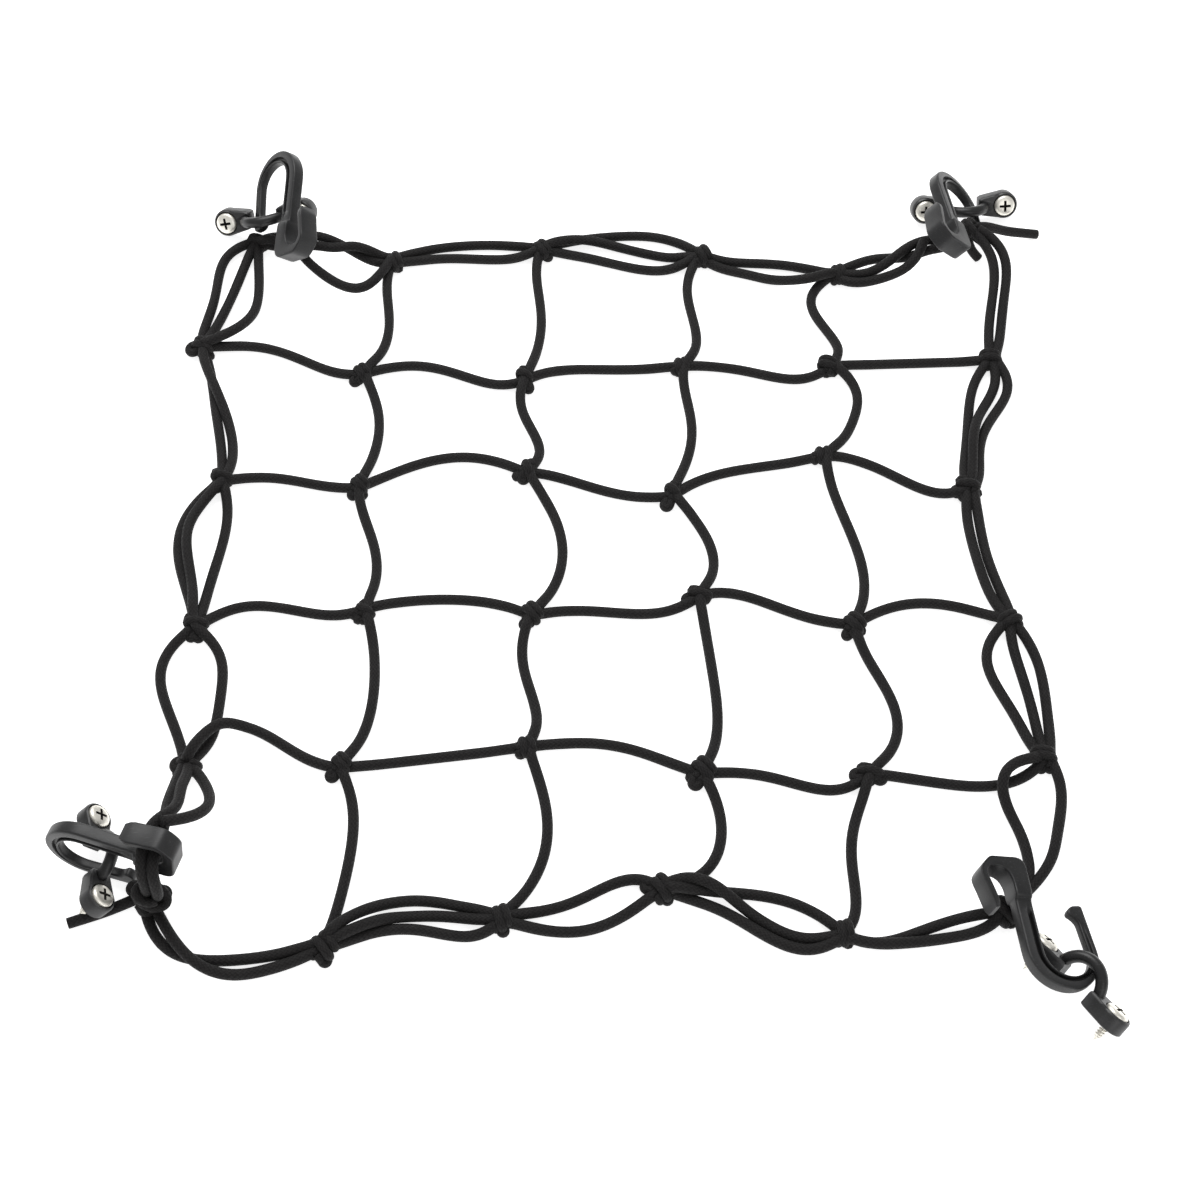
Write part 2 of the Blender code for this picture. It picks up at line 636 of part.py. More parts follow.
def make_pad_eye_mesh(material):
    arch = bmesh.new()
    rings = []
    middles = [Vector((-ARCH_HALF_WIDTH, 1.0))]
    for step in range(ARCH_STEPS + 1):
        angle = math.pi * (1.0 - step / ARCH_STEPS)
        height = ARCH_SPRING + ARCH_RISE * math.sin(angle)
        middles.append(Vector((ARCH_HALF_WIDTH * math.cos(angle), height)))
    middles.append(Vector((ARCH_HALF_WIDTH, 1.0)))
    for index, middle in enumerate(middles):
        before = middles[max(index - 1, 0)]
        after = middles[min(index + 1, len(middles) - 1)]
        along = (after - before).normalized()
        outward = Vector((-along.y, along.x))
        ring = []
        for corner in range(ARCH_SIDES):
            angle = 2.0 * math.pi * (corner + 0.5) / ARCH_SIDES
            place = middle + outward * (ARCH_BAR_RADIUS * math.cos(angle))
            depth = ARCH_BAR_RADIUS * math.sin(angle)
            ring.append(arch.verts.new(Vector((place.x, depth, place.y)) * MM))
        rings.append(ring)
    join_rings(arch, rings)
    feet = bmesh.new()
    cutters = bmesh.new()
    for side in (-1, 1):
        outline = [(FOOT_INNER_END, -FOOT_INNER_WIDTH / 2)]
        for step in range(FOOT_ARC_STEPS + 1):
            angle = math.radians(FOOT_ARC * (2.0 * step / FOOT_ARC_STEPS - 1.0))
            x = SCREW_SPACING / 2 + FOOT_RADIUS * math.cos(angle)
            outline.append((x, FOOT_RADIUS * math.sin(angle)))
        outline.append((FOOT_INNER_END, FOOT_INNER_WIDTH / 2))
        rings = []
        for height in (0.0, FOOT_THICKNESS):
            ring = []
            for x, y in outline:
                ring.append(feet.verts.new(Vector((side * x, y, height)) * MM))
            rings.append(ring)
        join_rings(feet, rings)
        bore = ((-1.0, SCREW_HOLE_RADIUS), (FOOT_THICKNESS - COUNTERBORE_DEPTH, SCREW_HOLE_RADIUS),
                (FOOT_THICKNESS - COUNTERBORE_DEPTH, COUNTERBORE_RADIUS),
                (FOOT_THICKNESS + 1.0, COUNTERBORE_RADIUS))
        add_stack(cutters, (side * SCREW_SPACING / 2, 0.0), bore, SCREW_SIDES)
    pad_eye = new_object("pad_eye_shape", arch, material, None)
    return evaluated_mesh(pad_eye, [(feet, "UNION"), (cutters, "DIFFERENCE")], material)


def make_screw_mesh(material):
    screw = bmesh.new()
    add_stack(screw, (0.0, 0.0), [(height, radius) for radius, height in SCREW_PROFILE], SCREW_SIDES)
    screw.faces.ensure_lookup_table()
    bottom = min(screw.faces, key=lambda face: face.calc_center_median().z)
    bmesh.ops.poke(screw, faces=[bottom])
    tip = min(screw.verts, key=lambda vert: vert.co.xy.length)
    tip.co.z = SCREW_TIP * MM
    return evaluated_mesh(new_object("screw_shape", screw, material, None), [], material)


# ---------------------------------------------------------------- assembly

def place_copy(name, mesh, matrix, parent):
    piece = bpy.data.objects.new(name, mesh)
    bpy.context.collection.objects.link(piece)
    piece.parent = parent
    piece.matrix_local = matrix
    piece.data.shade_smooth()
    piece.data.set_sharp_from_angle(angle=math.radians(35.0))
    return piece


def placing(location, degrees):
    rotation = Euler([math.radians(angle) for angle in degrees]).to_matrix().to_4x4()
    return Matrix.Translation(Vector(location) * MM) @ rotation


def build():
    clear_scene()
    cord = principled("woven_cord", (0.020, 0.020, 0.022), 0.75)
    plastic = principled("hook_plastic", (0.045, 0.047, 0.050), 0.45)
    black_plastic = principled("pad_eye_plastic", (0.022, 0.022, 0.024), 0.4)
    steel = principled("screw_steel", (0.72, 0.70, 0.66), 0.3, 1.0)
    plan = bpy.data.objects.new("net_plan", None)
    bpy.context.collection.objects.link(plan)
    plan.location = (-PLAN_CENTRE[0] * MM, -PLAN_CENTRE[1] * MM, 0.0)

    for border in BORDER_STRANDS:
        make_border(border, cord, plan)
    for row in INNER_ROWS:
        labels = [row + str(column) for column in range(6)]
        make_net_cord("row_cord_" + row, labels, ROW_BOWS[row], False, cord, plan)
    for column in INNER_COLUMNS:
        labels = [row + str(column) for row in KNOTS]
        make_net_cord("column_cord_" + str(column), labels, COLUMN_BOWS[column], True, cord, plan)

    hook = make_hook_mesh(plastic)
    pad_eye = make_pad_eye_mesh(black_plastic)
    screw = make_screw_mesh(steel)
    for corner in CORNER_KNOTS:
        make_corner_lashing(corner, cord, plan)
        place_copy("hook_" + corner, hook, placing(*HOOK_PLACES[corner]), plan)
        base = placing(*PAD_EYE_PLACES[corner])
        place_copy("pad_eye_" + corner, pad_eye, base, plan)
        for number, side in ((1, -1), (2, 1)):
            seat = base @ Matrix.Translation((side * SCREW_SPACING / 2 * MM, 0.0, 0.0))
            place_copy("screw_" + corner + "_" + str(number), screw, seat, plan)


build()
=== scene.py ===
"""Looks of the cargo net: braided cords, wound knots, moulded hooks and pad eyes, and screws.

The tables repeat the routes and places of part.py: millimetres in the plan of the net as it
lies, X to the right, Y away from the front, Z up from the surface.  Meshes are in metres.
"""
import math

import bmesh
import bpy
import numpy as np
from mathutils import Euler, Matrix, Vector


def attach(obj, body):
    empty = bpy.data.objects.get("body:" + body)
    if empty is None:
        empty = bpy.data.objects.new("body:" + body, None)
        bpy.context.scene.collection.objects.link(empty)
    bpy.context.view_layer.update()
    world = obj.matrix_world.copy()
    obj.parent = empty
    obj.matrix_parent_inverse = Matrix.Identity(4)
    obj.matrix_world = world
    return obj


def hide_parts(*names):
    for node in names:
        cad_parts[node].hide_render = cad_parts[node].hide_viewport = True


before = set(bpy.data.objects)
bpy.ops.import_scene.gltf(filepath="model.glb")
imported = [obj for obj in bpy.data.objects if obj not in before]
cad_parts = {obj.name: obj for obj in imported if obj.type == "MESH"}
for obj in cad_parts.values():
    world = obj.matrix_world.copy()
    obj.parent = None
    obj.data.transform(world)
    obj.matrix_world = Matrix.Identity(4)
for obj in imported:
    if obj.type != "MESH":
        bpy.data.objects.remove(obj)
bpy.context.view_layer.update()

MM = 0.001
PLAN_CENTRE = np.array((-4.4, -8.7, 0.0))

# ---- camera, floor and light
CAMERA_TARGET = (4.4, -16.9, 0.0)
CAMERA_DISTANCE = 1084.0
CAMERA_ELEVATION = 56.64  # degrees above the floor
CAMERA_LENS = 69.0
CAMERA_SENSOR = 36.0
LIGHTS = {  # place and size in metres, power in watts
    "overhead": ((-0.2, 0.85, 1.3), 1.1, 18.0),
    "front_fill": ((0.6, -1.5, 1.0), 1.2, 6.0),
}
WHITE = (1.0, 1.0, 1.0, 1.0)
WORLD_STRENGTH = 0.5
FLOOR_SIZE = 40.0  # metres
FLOOR_COLOUR = (0.93, 0.93, 0.93, 1.0)
FLOOR_GLOW = 0.75

# ---- cord
CORD = 5.0
CORD_RADIUS = CORD / 2
TUBE_SIDES = 16
TUBE_STEP = 1.7  # between the rings of a cord
WINDING_STEP = 0.9  # between the rings of a knot's winding
PATH_STEP = 2.5  # between the points that find room beside each other
SPAN_POINTS = 60  # from knot to knot, before they are spaced evenly
FLOOR_GAP = 0.02  # left under a cord
ENTRY_REACH = 14.0  # from a border knot to where a cord lies on the floor
KNOT_ENTRY = 5.0  # height of a cord in a border knot
ROW_RISE = 0.9  # of a row cord in its knots
COLUMN_RISE = 2.8  # of a column cord in its knots
BUMP_REACH = 0.35  # of a span, each way from where a strand passes over
PAIR_SPREAD = 2.55  # half the distance between a pair of cords
PARTING_REACH = 30.0  # over which a pair goes back to its own spans

# Distances as (where a change starts, over how much more it goes)
OVER_KNOT = (5.0, 14.0)  # a cord comes down from an inner knot
OVER_STRAND = (8.0, 12.0)  # row e comes down from a border strand
FULL_FROM_KNOT = (3.0, 9.0)  # a cord squeezed in a knot gets its full radius
FREE_FROM_KNOT = (2.0, 4.0)  # a cord held in a knot gets free to move
FREE_FROM_EYE = (5.0, 10.0)  # and one on its route through a hook's eye
KNOT_SQUEEZE = 0.62  # of a cord's radius
ROOM_ROUNDS = 120
ROOM_PUSH = 0.30  # of an overlap, in one round
ROOM_REACH = 9.0  # points that are further apart don't meet
OWN_POINTS = 6  # along a cord that don't push each other
LEAST_DISTANCE = 0.05

KNOTS = {
    "a": ((-179, 196), (-108, 181), (-31, 190), (51, 186), (120, 172), (190.5, 192.5)),
    "b": ((-201, 124), (-119, 108), (-37, 104), (42, 113), (116, 113), (197, 116)),
    "c": ((-183, 40), (-117, 37), (-36, 46), (35, 32), (110, 57), (179, 36)),
    "d": ((-188, -44), (-110, -33), (-32, -37), (46, -26), (118, -42), (191, -40)),
    "e": ((-185, -117), (-117, -118), (-33, -107), (45, -121), (120, -121), (200, -114)),
    "f": ((-196, -181), (-118, -205), (-43, -193), (27, -178), (104, -200), (174, -189.5)),
}
ROW_BOWS = {
    "b": ((7, 6, 0), (7, 5, -2), (5, 3, 1), (0, -4, -8), (1, 1, 1)),
    "c": ((5, 4, 1), (9, 14, 12), (1, -2, -3), (6, 5, 2), (2, -2, -6)),
    "d": ((10, 7, 0), (6, 8, 7), (1, -3, -6), (6, 3, 0), (10, 12, 8)),
    "e": ((21, 17, 6), (0, 0, 0), (6, 8, 5), (1, -3, -8), (-4, -9, -10)),
}
COLUMN_BOWS = {
    "1": ((1, 6, 7), (7, 9, 6), (2, 6, 6), (7, 10, 9), (8, 8, 5)),
    "2": ((0, 4, 4), (-3, 2, 7), (11, 16, 13), (-4, -1, 4), (10, 15, 12)),
    "3": ((-4, 0, 5), (3, 7, 5), (8, 12, 11), (4, 7, 8), (13, 18, 16)),
    "4": ((-11, -6, 3), (14, 14, 10), (2, 7, 9), (6, 14, 15), (-2, -2, 3)),
}
ROW_E_LIFT = (-178, -104.5, 7.4)  # where row e passes over a border strand

PARTINGS = {
    "a0_upper": (-145.2, 184.7, 18.3),
    "a0_lower": (-153.9, 177.9, 12),
    "a5_eye": (166, 181.2, 17.8),
    "f0_eye": (-187.4, -164.9, 37.7),
    "f5_eye": (190, -172, 4),
}
CORNER_HEIGHTS = {"a0": 4.0, "a5": 18.3, "f0": 5.5, "f5": 5.5}

# Border strands: the knots or partings that they join, and by the cord that they belong to (1 and
# 2 run all the way, 3 from knot to knot) their three bows and, where they pass over another
# strand, how much they rise and at which part of the way (halfway if it isn't given)
BORDER_STRANDS = {
    "back": (
        ("a0_upper", "a1", {1: (0, 1, 1, 4.8), 2: (0, 0, -1)}),
        ("a0_lower", "a1", {3: (-11, -18, -16, 3.0, 0.95)}),
        ("a1", "a2", {1: (8, 9, 7), 2: (2, 0, -3)}),
        ("a2", "a3", {1: (9, 13, 13), 2: (7, 5, 0, 3.0, 0.2), 3: (-2, -7, -10)}),
        ("a3", "a4", {1: (0, 3, 4), 2: (-5, -7, -9, 6.0, 0.85)}),
        ("a4", "a5_eye", {1: (3, 3, 0), 2: (-4, -7, -4, 3.0, 0.6), 3: (-9, -11, -11)}),
    ),
    "left": (
        ("a0", "b0", {1: (-12, -8, -5), 2: (0, 1, 1), 3: (8, 15, 15, 5.0, 0.85)}),
        ("b0", "c0", {1: (2, 2, 2), 2: (2, 6, 7, 4.8, 0.3)}),
        ("c0", "d0", {1: (-14, -15, -6), 2: (-12, -11, -5, 4.8, 0.45), 3: (5, 4, 1)}),
        ("d0", "e0", {1: (-15, -13, -6), 2: (13, 13, 11)}),
        ("e0", "f0_eye", {1: (-1, -1, -1), 2: (2, 3, 5, 3.5, 0.4), 3: (10, 16, 16)}),
    ),
    "right": (
        ("a5", "b5", {1: (10, 7, 2), 2: (16, 13, 8)}),
        ("b5", "c5", {1: (-7, -6, -4), 2: (10, 3, 1), 3: (3, -2, -1, 4.8, 0.6)}),
        ("c5", "d5", {1: (-5, -6, -5), 2: (0, -1, 0)}),
        ("d5", "e5", {1: (-15, -12, -6), 2: (8, 8, 5), 3: (-1, 0, 0)}),
        ("e5", "f5_eye", {1: (-19, -14, -5, 7.0, 0.2), 2: (8, 8, 6)}),
    ),
    "front": (
        ("f0", "f1", {1: (-22, -20, -12), 2: (-18, -26, -17, 4.8, 0.33)}),
        ("f1", "f2", {1: (13, 16, 10, 5.0, 0.1), 2: (4, 3, -4), 3: (6, 8, 6, 4.0, 0.2)}),
        ("f2", "f3", {1: (1, 3, 8), 2: (-8, -12, -8)}),
        ("f3", "f4", {1: (5, 9, 9, 5.6, 0.1), 2: (-1, -5, -10), 3: (5, -2, -7, 5.8, 0.2)}),
        ("f4", "f5", {1: (-6, -3, 0), 2: (-8, -8, -8, 4.0, 0.2)}),
    ),
}

# Routes past the hooks' eyes, from the corner knot to the parting: knot, direction from one
# cord of the pair to the other, points
EYE_ROUTES = {
    "a0_upper": ("a0", (-0.08, -0.92, -0.38),
                 ((-171.0, 193.4, 7.2), (-163.5, 188.8, 12), (-155.0, 184.7, 16.7),
                  (-149, 184.1, 18.2))),
    "a0_lower": ("a0", (0.0, 0.0, 0.0),
                 ((-163.5, 188.8, 12), (-157.0, 183.5, 11.5))),
    "a5_eye": ("a5", (0.16, -0.99, 0.0),
               ((184.5, 187.7, 16.6), (181.0, 185.4, 16.4), (176.5, 183, 17),
                (170.5, 181.4, 18))),
    "f0_eye": ("f0", (0.95, -0.29, -0.1),
               ((-193.4, -184, 12.5), (-190.6, -188.2, 18), (-189.2, -190, 27),
                (-189.8, -188.5, 35), (-191, -183, 38.6), (-190.2, -174.5, 38.3))),
    "f5_eye": ("f5", (-0.71, -0.71, 0.0), ((180.0, -183.4, 3.1), (184, -179, 3.1))),
}

TAILS = {
    "back_right_long": ((190.5, 192.5, 18), (199, 195.3, 17), (212, 199.5, 8), (229.2, 202.6, 2.5)),
    "back_right_short": ((188, 197, 17), (190.5, 191.0, 14), (191.5, 187.5, 8), (197, 186, 2.6)),
    "front_left": ((-196, -181, 4.5), (-212, -188.0, 3.0), (-229, -193.9, 2.5)),
}

# ---- hook, in its own plan: X across from the outer rim of the shank, Y along it to the head
SHANK_MIDDLE = 4.0  # X of the middle of the shank where the bend starts
SHANK_RIM = 0.1  # X of its outer side above the bend
SHANK_DEPTH = 7.8
SHANK_WIDTH = 6.4
TIP_DEPTH = 4.4
TIP_WIDTH = 4.4
HOOK_BEND_RADIUS = 14.1
HOOK_BEND_START = 180.0
HOOK_BEND_END = 365.5
HOOK_BEND_STEPS = 16
HOOK_LENGTH = 43.6  # from the bend's centre to the top of the head
HOOK_ROUNDING = 1.0
END_ROUNDING = (0.72, 0.93, 1.0)  # size of the last, the second last and the other sections
GROOVE_FROM, GROOVE_TO = 0.10, 0.62  # of half the depth, towards the inner side
GROOVE_SINK = 0.66  # of half the width
GROOVE_SLOPE = 0.22
HEAD_WIDTH = 10.5
# Head from the free end of its wing to the shank: outside and inside of the folded band as
# (x, distance below the top)
HEAD_BAND = (
    ((-11.0, 25.0), (-8.0, 24.2)), ((-12.2, 19.0), (-9.2, 18.7)), ((-13.4, 13.0), (-10.4, 13.2)),
    ((-14.4, 8.2), (-11.3, 9.2)), ((-13.4, 5.3), (-10.9, 7.2)), ((-10.8, 2.3), (-9.8, 5.7)),
    ((-8.2, 0.2), (-8.0, 5.0)), ((-4.5, 0.0), (-5.0, 5.1)), ((0.0, 0.0), (-2.9, 6.0)),
    ((3.6, 0.0), (-1.4, 7.6)), ((6.0, 0.7), (-0.6, 9.4)), ((7.5, 2.4), (-0.1, 11.6)),
    ((8.0, 5.0), (0.0, 13.6)), ((8.0, 10.0), (0.0, 15.4)), ((8.0, 15.5), (0.0, 17.2)),
)
# Shank: distance below the top of the head, half the width, and groove from 0 to 1
HOOK_SHANK = ((18.6, 4.9, 0.0), (19.6, 3.5, 0.0), (22.0, 3.2, 0.0), (25.0, 3.2, 0.3),
              (27.0, 3.2, 1.0), (33.0, 3.2, 1.0), (38.5, 3.2, 1.0))
# Tip: distance past the bend, height of the barb, and groove
HOOK_TIP = ((5.0, 0.0, 0.4), (10.0, 0.0, 0.2), (14.0, 0.1, 0.0), (16.5, 1.3, 0.0),
            (18.5, 3.3, 0.0), (20.3, 2.7, 0.0), (22.0, 0.9, 0.0))

# ---- pad eye and screw, in their own frame: X along the feet, Z out of the base
SCREW_SPACING = 42.0
FOOT_THICKNESS = 7.5
FOOT_RADIUS = 7.0
FOOT_ARC = 110.0  # degrees each way round the screw that the foot is round
FOOT_SIDES = 56
FOOT_INNER_END = 7.6
FOOT_INNER_WIDTH = 9.0
COUNTERBORE_RADIUS = 5.9
COUNTERBORE_DEPTH = 1.6
COUNTERBORE_BEVEL = 0.25
SCREW_HOLE_RADIUS = 2.4
ARCH_HALF_WIDTH = 10.8
ARCH_SPRING = 3.5
ARCH_RISE = 12.0
ARCH_BAR_RADIUS = 2.75
ARCH_FOOT_LEVELS = (1.2, 2.4)  # its ends, inside the feet
ARCH_STEPS = 32
ARCH_SIDES = 20
SCREW_SIDES = 28
# (height, radius) of the point and the head; heights of the thread as from, to, step
SCREW_POINT = ((-8.6, 0.15), (-8.2, 0.35))
SCREW_HEAD = ((4.4, 1.9), (6.15, 1.9), (6.2, 5.2), (6.4, 5.4), (7.6, 5.35), (8.25, 4.95),
              (8.7, 4.2), (8.95, 3.0), (9.05, 1.4), (9.07, 0.4))
THREAD_HEIGHTS = (-8.0, 4.2, 0.16)
THREAD_PITCH = 1.3
THREAD_CORE = 1.35
THREAD_DEPTH = 0.6
THREAD_WIDTH = 0.32  # of the pitch, half of the ridge
SCREW_TAPER = 3.2  # from the point to the full shank
RECESS_ENDS = ((6.4, 1.6, 0.38), (9.6, 3.3, 0.72))  # height, half length, half width of a slot
RECESS_HEIGHTS = (6.3, 8.85)  # of the faces in the recess
RECESS_REACH = 3.4

HOOK_PLACES = {
    "back_left": ((-154.5, 209.1, 38.3), (-30.1, 39.5, 155.0)),
    "back_right": ((172.9, 209.9, 29.7), (-180.3, 44.1, 9.7)),
    "front_left": ((-220.0, -165.9, 36.0), (-60.0, 83.2, -166.5)),
    "front_right": ((177.7, -215.4, 20.2), (-3.2, 18.6, 5.3)),
}
PAD_EYE_PLACES = {
    "back_left": ((-173.3, 207.2, 12.1), (56.6, -16.7, -6.2)),
    "back_right": ((191.0, 219.9, 6.2), (57.2, 0.1, 5.7)),
    "front_left": ((-221.3, -168.2, 8.4), (-48.6, -6.8, -80.0)),
    "front_right": ((198.0, -226.7, 7.3), (-50.0, -4.3, -52.9)),
}


# ---- camera, floor and light

def add_object(name, data):
    made = bpy.data.objects.new(name, data)
    bpy.context.scene.collection.objects.link(made)
    return made


def add_camera():
    data = bpy.data.cameras.new("camera")
    data.lens = CAMERA_LENS
    data.sensor_width = CAMERA_SENSOR
    data.clip_start = 0.05
    data.clip_end = 20.0
    camera = add_object("camera", data)
    tilt = math.radians(CAMERA_ELEVATION)
    away = Vector((0.0, -math.cos(tilt), math.sin(tilt))) * CAMERA_DISTANCE
    camera.location = (Vector(CAMERA_TARGET) + away) * MM
    camera.rotation_euler = (math.pi / 2 - tilt, 0.0, 0.0)
    bpy.context.scene.camera = camera


def add_area_light(name, location, size, energy):
    data = bpy.data.lights.new(name, "AREA")
    data.shape = "SQUARE"
    data.size = size
    data.energy = energy
    light = add_object(name, data)
    light.location = location
    light.rotation_euler = (-Vector(location)).to_track_quat("-Z", "Y").to_euler()


def add_studio():
    bpy.context.scene.view_settings.view_transform = "Standard"
    world = bpy.data.worlds.new("studio")
    bpy.context.scene.world = world
    world.use_nodes = True
    sky = world.node_tree.nodes["Background"]
    sky.inputs["Color"].default_value = WHITE
    sky.inputs["Strength"].default_value = WORLD_STRENGTH
    for name, (location, size, energy) in LIGHTS.items():
        add_area_light(name, location, size, energy)
    bpy.ops.mesh.primitive_plane_add(size=FLOOR_SIZE, location=(0.0, 0.0, 0.0))
    floor = bpy.context.object
    floor.name = "floor"
    n = Nodes("floor_paper")
    n.shade({"Base Color": FLOOR_COLOUR, "Roughness": 0.9, "Specular IOR Level": 0.1,
             "Emission Color": WHITE, "Emission Strength": FLOOR_GLOW})
    floor.data.materials.append(n.material)


# ---- materials

class Nodes:
    """Short names for making and joining the nodes of one material."""

    def __init__(self, name):
        self.material = bpy.data.materials.new(name)
        self.material.use_nodes = True
        self.tree = self.material.node_tree
        self.shader = self.tree.nodes["Principled BSDF"]

    def new(self, kind, **settings):
        node = self.tree.nodes.new(kind)
        for key, value in settings.items():
            setattr(node, key, value)
        return node

    def put(self, value, socket):
        if isinstance(value, bpy.types.NodeSocket):
            self.tree.links.new(value, socket)
        else:
            socket.default_value = value

    def fill(self, node, **values):
        """Sets or joins a node's inputs by their names."""
        for name, value in values.items():
            self.put(value, node.inputs[name])
        return node

    def shade(self, settings):
        self.fill(self.shader, **settings)

    def fed(self, node, values):
        """The output of a node after its inputs are set or joined in their order."""
        for value, socket in zip(values, node.inputs):
            self.put(value, socket)
        return node.outputs[0]

    def math(self, operation, *values):
        return self.fed(self.new("ShaderNodeMath", operation=operation), values)

    def remap(self, *values):
        """A value, the ends of its range, and the ends that these become."""
        return self.fed(self.new("ShaderNodeMapRange"), values)

    def mix(self, share, first, second, kind="RGBA"):
        node = self.new("ShaderNodeMix", data_type=kind)
        return self.fill(node, Factor=share, A=first, B=second).outputs["Result"]

    def noise(self, scale, detail, vector=None):
        if vector is None:
            vector = self.new("ShaderNodeTexCoord").outputs["Object"]
        node = self.new("ShaderNodeTexNoise")
        return self.fill(node, Scale=scale, Detail=detail, Vector=vector).outputs["Fac"]

    def bump(self, height, strength, distance):
        node = self.new("ShaderNodeBump")
        self.fill(node, Strength=strength, Distance=distance, Height=height)
        self.shade({"Normal": node.outputs["Normal"]})

    def finish(self, colour, roughness, metallic=0.0):
        self.shade({"Base Color": colour, "Roughness": roughness, "Metallic": metallic})
        return self.material


BRAID_STRANDS = 10  # each way round the cord
BRAID_PER_METRE = 420.0
# Two colours each, mixed in patches; the darker pair, between the strands, is painted shade
SHADE_BETWEEN_STRANDS = ((0.0040, 0.0038, 0.0040, 1.0), (0.0080, 0.0072, 0.0074, 1.0))
ON_STRANDS = ((0.0125, 0.0118, 0.0120, 1.0), (0.0240, 0.0225, 0.0222, 1.0))
PLASTICS = {  # darkest and lightest, roughness
    "hook_plastic": ((0.0065, 0.0065, 0.0070, 1.0), (0.0150, 0.0152, 0.0160, 1.0), 0.40),
    "pad_eye_plastic": ((0.0035, 0.0035, 0.0038, 1.0), (0.0080, 0.0080, 0.0085, 1.0), 0.36),
}
SCRATCH_COLOUR = (0.062, 0.062, 0.064, 1.0)
RUBBED_COLOUR = (0.095, 0.095, 0.097, 1.0)
HOLLOW_SHADE_COLOUR = (0.003, 0.003, 0.003, 1.0)


def cord_material():
    """Braided sheath: two families of strands that pass over and under each other."""
    n = Nodes("woven_cord")
    split = n.new("ShaderNodeSeparateXYZ")
    n.put(n.new("ShaderNodeUVMap", uv_map="sheath").outputs["UV"], split.inputs[0])
    around = n.math("MULTIPLY", split.outputs["X"], BRAID_STRANDS)
    along = n.math("MULTIPLY", split.outputs["Y"], BRAID_PER_METRE)
    ways = [n.math(sign, around, along) for sign in ("ADD", "SUBTRACT")]
    cell = n.math("ADD", *[n.math("FLOOR", way) for way in ways])
    over = n.math("ABSOLUTE", n.math("MODULO", cell, 2.0))
    waves = [n.math("SINE", n.math("MULTIPLY", way, math.pi)) for way in ways]
    ridge = n.mix(over, *[n.math("ABSOLUTE", wave) for wave in waves], kind="FLOAT")
    fuzz = n.noise(900.0, 3.0)
    n.bump(n.math("ADD", ridge, n.math("MULTIPLY", fuzz, 0.5)), 0.55, 0.00022)
    # Painted shade: the colour between the strands is darker than the colour on them
    dark = n.mix(n.noise(45.0, 3.0), *SHADE_BETWEEN_STRANDS)
    worn = n.mix(n.noise(170.0, 4.0), *ON_STRANDS)
    colour = n.mix(n.remap(ridge, 0.15, 1.0, 0.0, 0.85), dark, worn)
    n.shade({"Sheen Weight": 0.03, "Sheen Roughness": 0.5, "Specular IOR Level": 0.18})
    return n.finish(colour, n.remap(fuzz, 0.3, 0.7, 0.62, 0.82))


def plastic_material(name):
    """Moulded plastic: fine grain, rubbed lighter along its edges, with hairline scratches and
    painted shade in its hollows.
    """
    dark, light, roughness = PLASTICS[name]
    n = Nodes(name)
    where = n.new("ShaderNodeTexCoord").outputs["Object"]
    stretch = n.fill(n.new("ShaderNodeMapping"), Scale=(1.0, 14.0, 14.0), Vector=where)
    scratches = n.noise(180.0, 4.0, stretch.outputs["Vector"])
    grain = n.noise(2600.0, 2.0)
    cloud = n.noise(90.0, 3.0)
    edge = n.new("ShaderNodeNewGeometry").outputs["Pointiness"]
    base = n.mix(cloud, dark, light)
    scratched = n.mix(n.remap(scratches, 0.60, 0.72, 0.0, 0.5), base, SCRATCH_COLOUR)
    worn = n.mix(n.remap(edge, 0.52, 0.62, 0.0, 0.7), scratched, RUBBED_COLOUR)
    # Painted shade: darker where the surface is hollow, such as in the groove
    colour = n.mix(n.remap(edge, 0.49, 0.42, 0.0, 0.8), worn, HOLLOW_SHADE_COLOUR)
    relief = n.math("ADD", n.math("MULTIPLY", grain, 0.5), n.math("MULTIPLY", scratches, 0.5))
    n.bump(relief, 0.35, 0.00012)
    n.shade({"Specular IOR Level": 0.4})
    return n.finish(colour, n.remap(cloud, 0.3, 0.7, roughness - 0.06, roughness + 0.08))


def recess_material():
    """Painted shade in the cross recess, mottled."""
    n = Nodes("screw_recess")
    recess_mottle = n.noise(700.0, 3.0)
    n.bump(recess_mottle, 0.3, 0.00008)
    colour = n.mix(recess_mottle, (0.010, 0.009, 0.008, 1.0), (0.060, 0.054, 0.048, 1.0))
    return n.finish(colour, n.remap(recess_mottle, 0.3, 0.7, 0.5, 0.75), 0.4)


def screw_material():
    """Nickel plate with fine turning marks and dull patches, and painted shade in its hollows."""
    n = Nodes("screw_steel")
    marks = n.noise(1500.0, 3.0)
    dull = n.noise(220.0, 3.0)
    edge = n.new("ShaderNodeNewGeometry").outputs["Pointiness"]
    plate = n.mix(dull, (0.80, 0.77, 0.69, 1.0), (0.95, 0.93, 0.86, 1.0))
    # Painted shade: dark where the surface is hollow
    colour = n.mix(n.remap(edge, 0.49, 0.43, 0.0, 0.9), plate, (0.030, 0.027, 0.024, 1.0))
    n.bump(marks, 0.25, 0.00006)
    return n.finish(colour, n.remap(dull, 0.3, 0.7, 0.34, 0.48), 0.8)


# ---- routes

def knot_at(label):
    x, y = KNOTS[label[0]][int(label[1])]
    return np.array((x, y, CORNER_HEIGHTS.get(label, KNOT_ENTRY)), float)


def smooth(value):
    value = np.clip(value, 0.0, 1.0)
    return value * value * (3.0 - 2.0 * value)


def beyond(distance, flat, slope):
    """0 up to a distance, and from there smoothly to 1."""
    return smooth((distance - flat) / slope)


def norms(rows):
    return np.linalg.norm(rows, axis=-1)


def bow_at(part, bows):
    """Sideways distance at parts of a span: the quartic through its three bows and its ends."""
    places = (0.0, 0.25, 0.5, 0.75, 1.0)
    total = 0.0
    for i, value in enumerate((0.0, *bows, 0.0)):
        weight = 1.0
        for j, other in enumerate(places):
            if j != i:
                weight = weight * (part - other) / (places[i] - other)
        total = total + weight * value
    return total


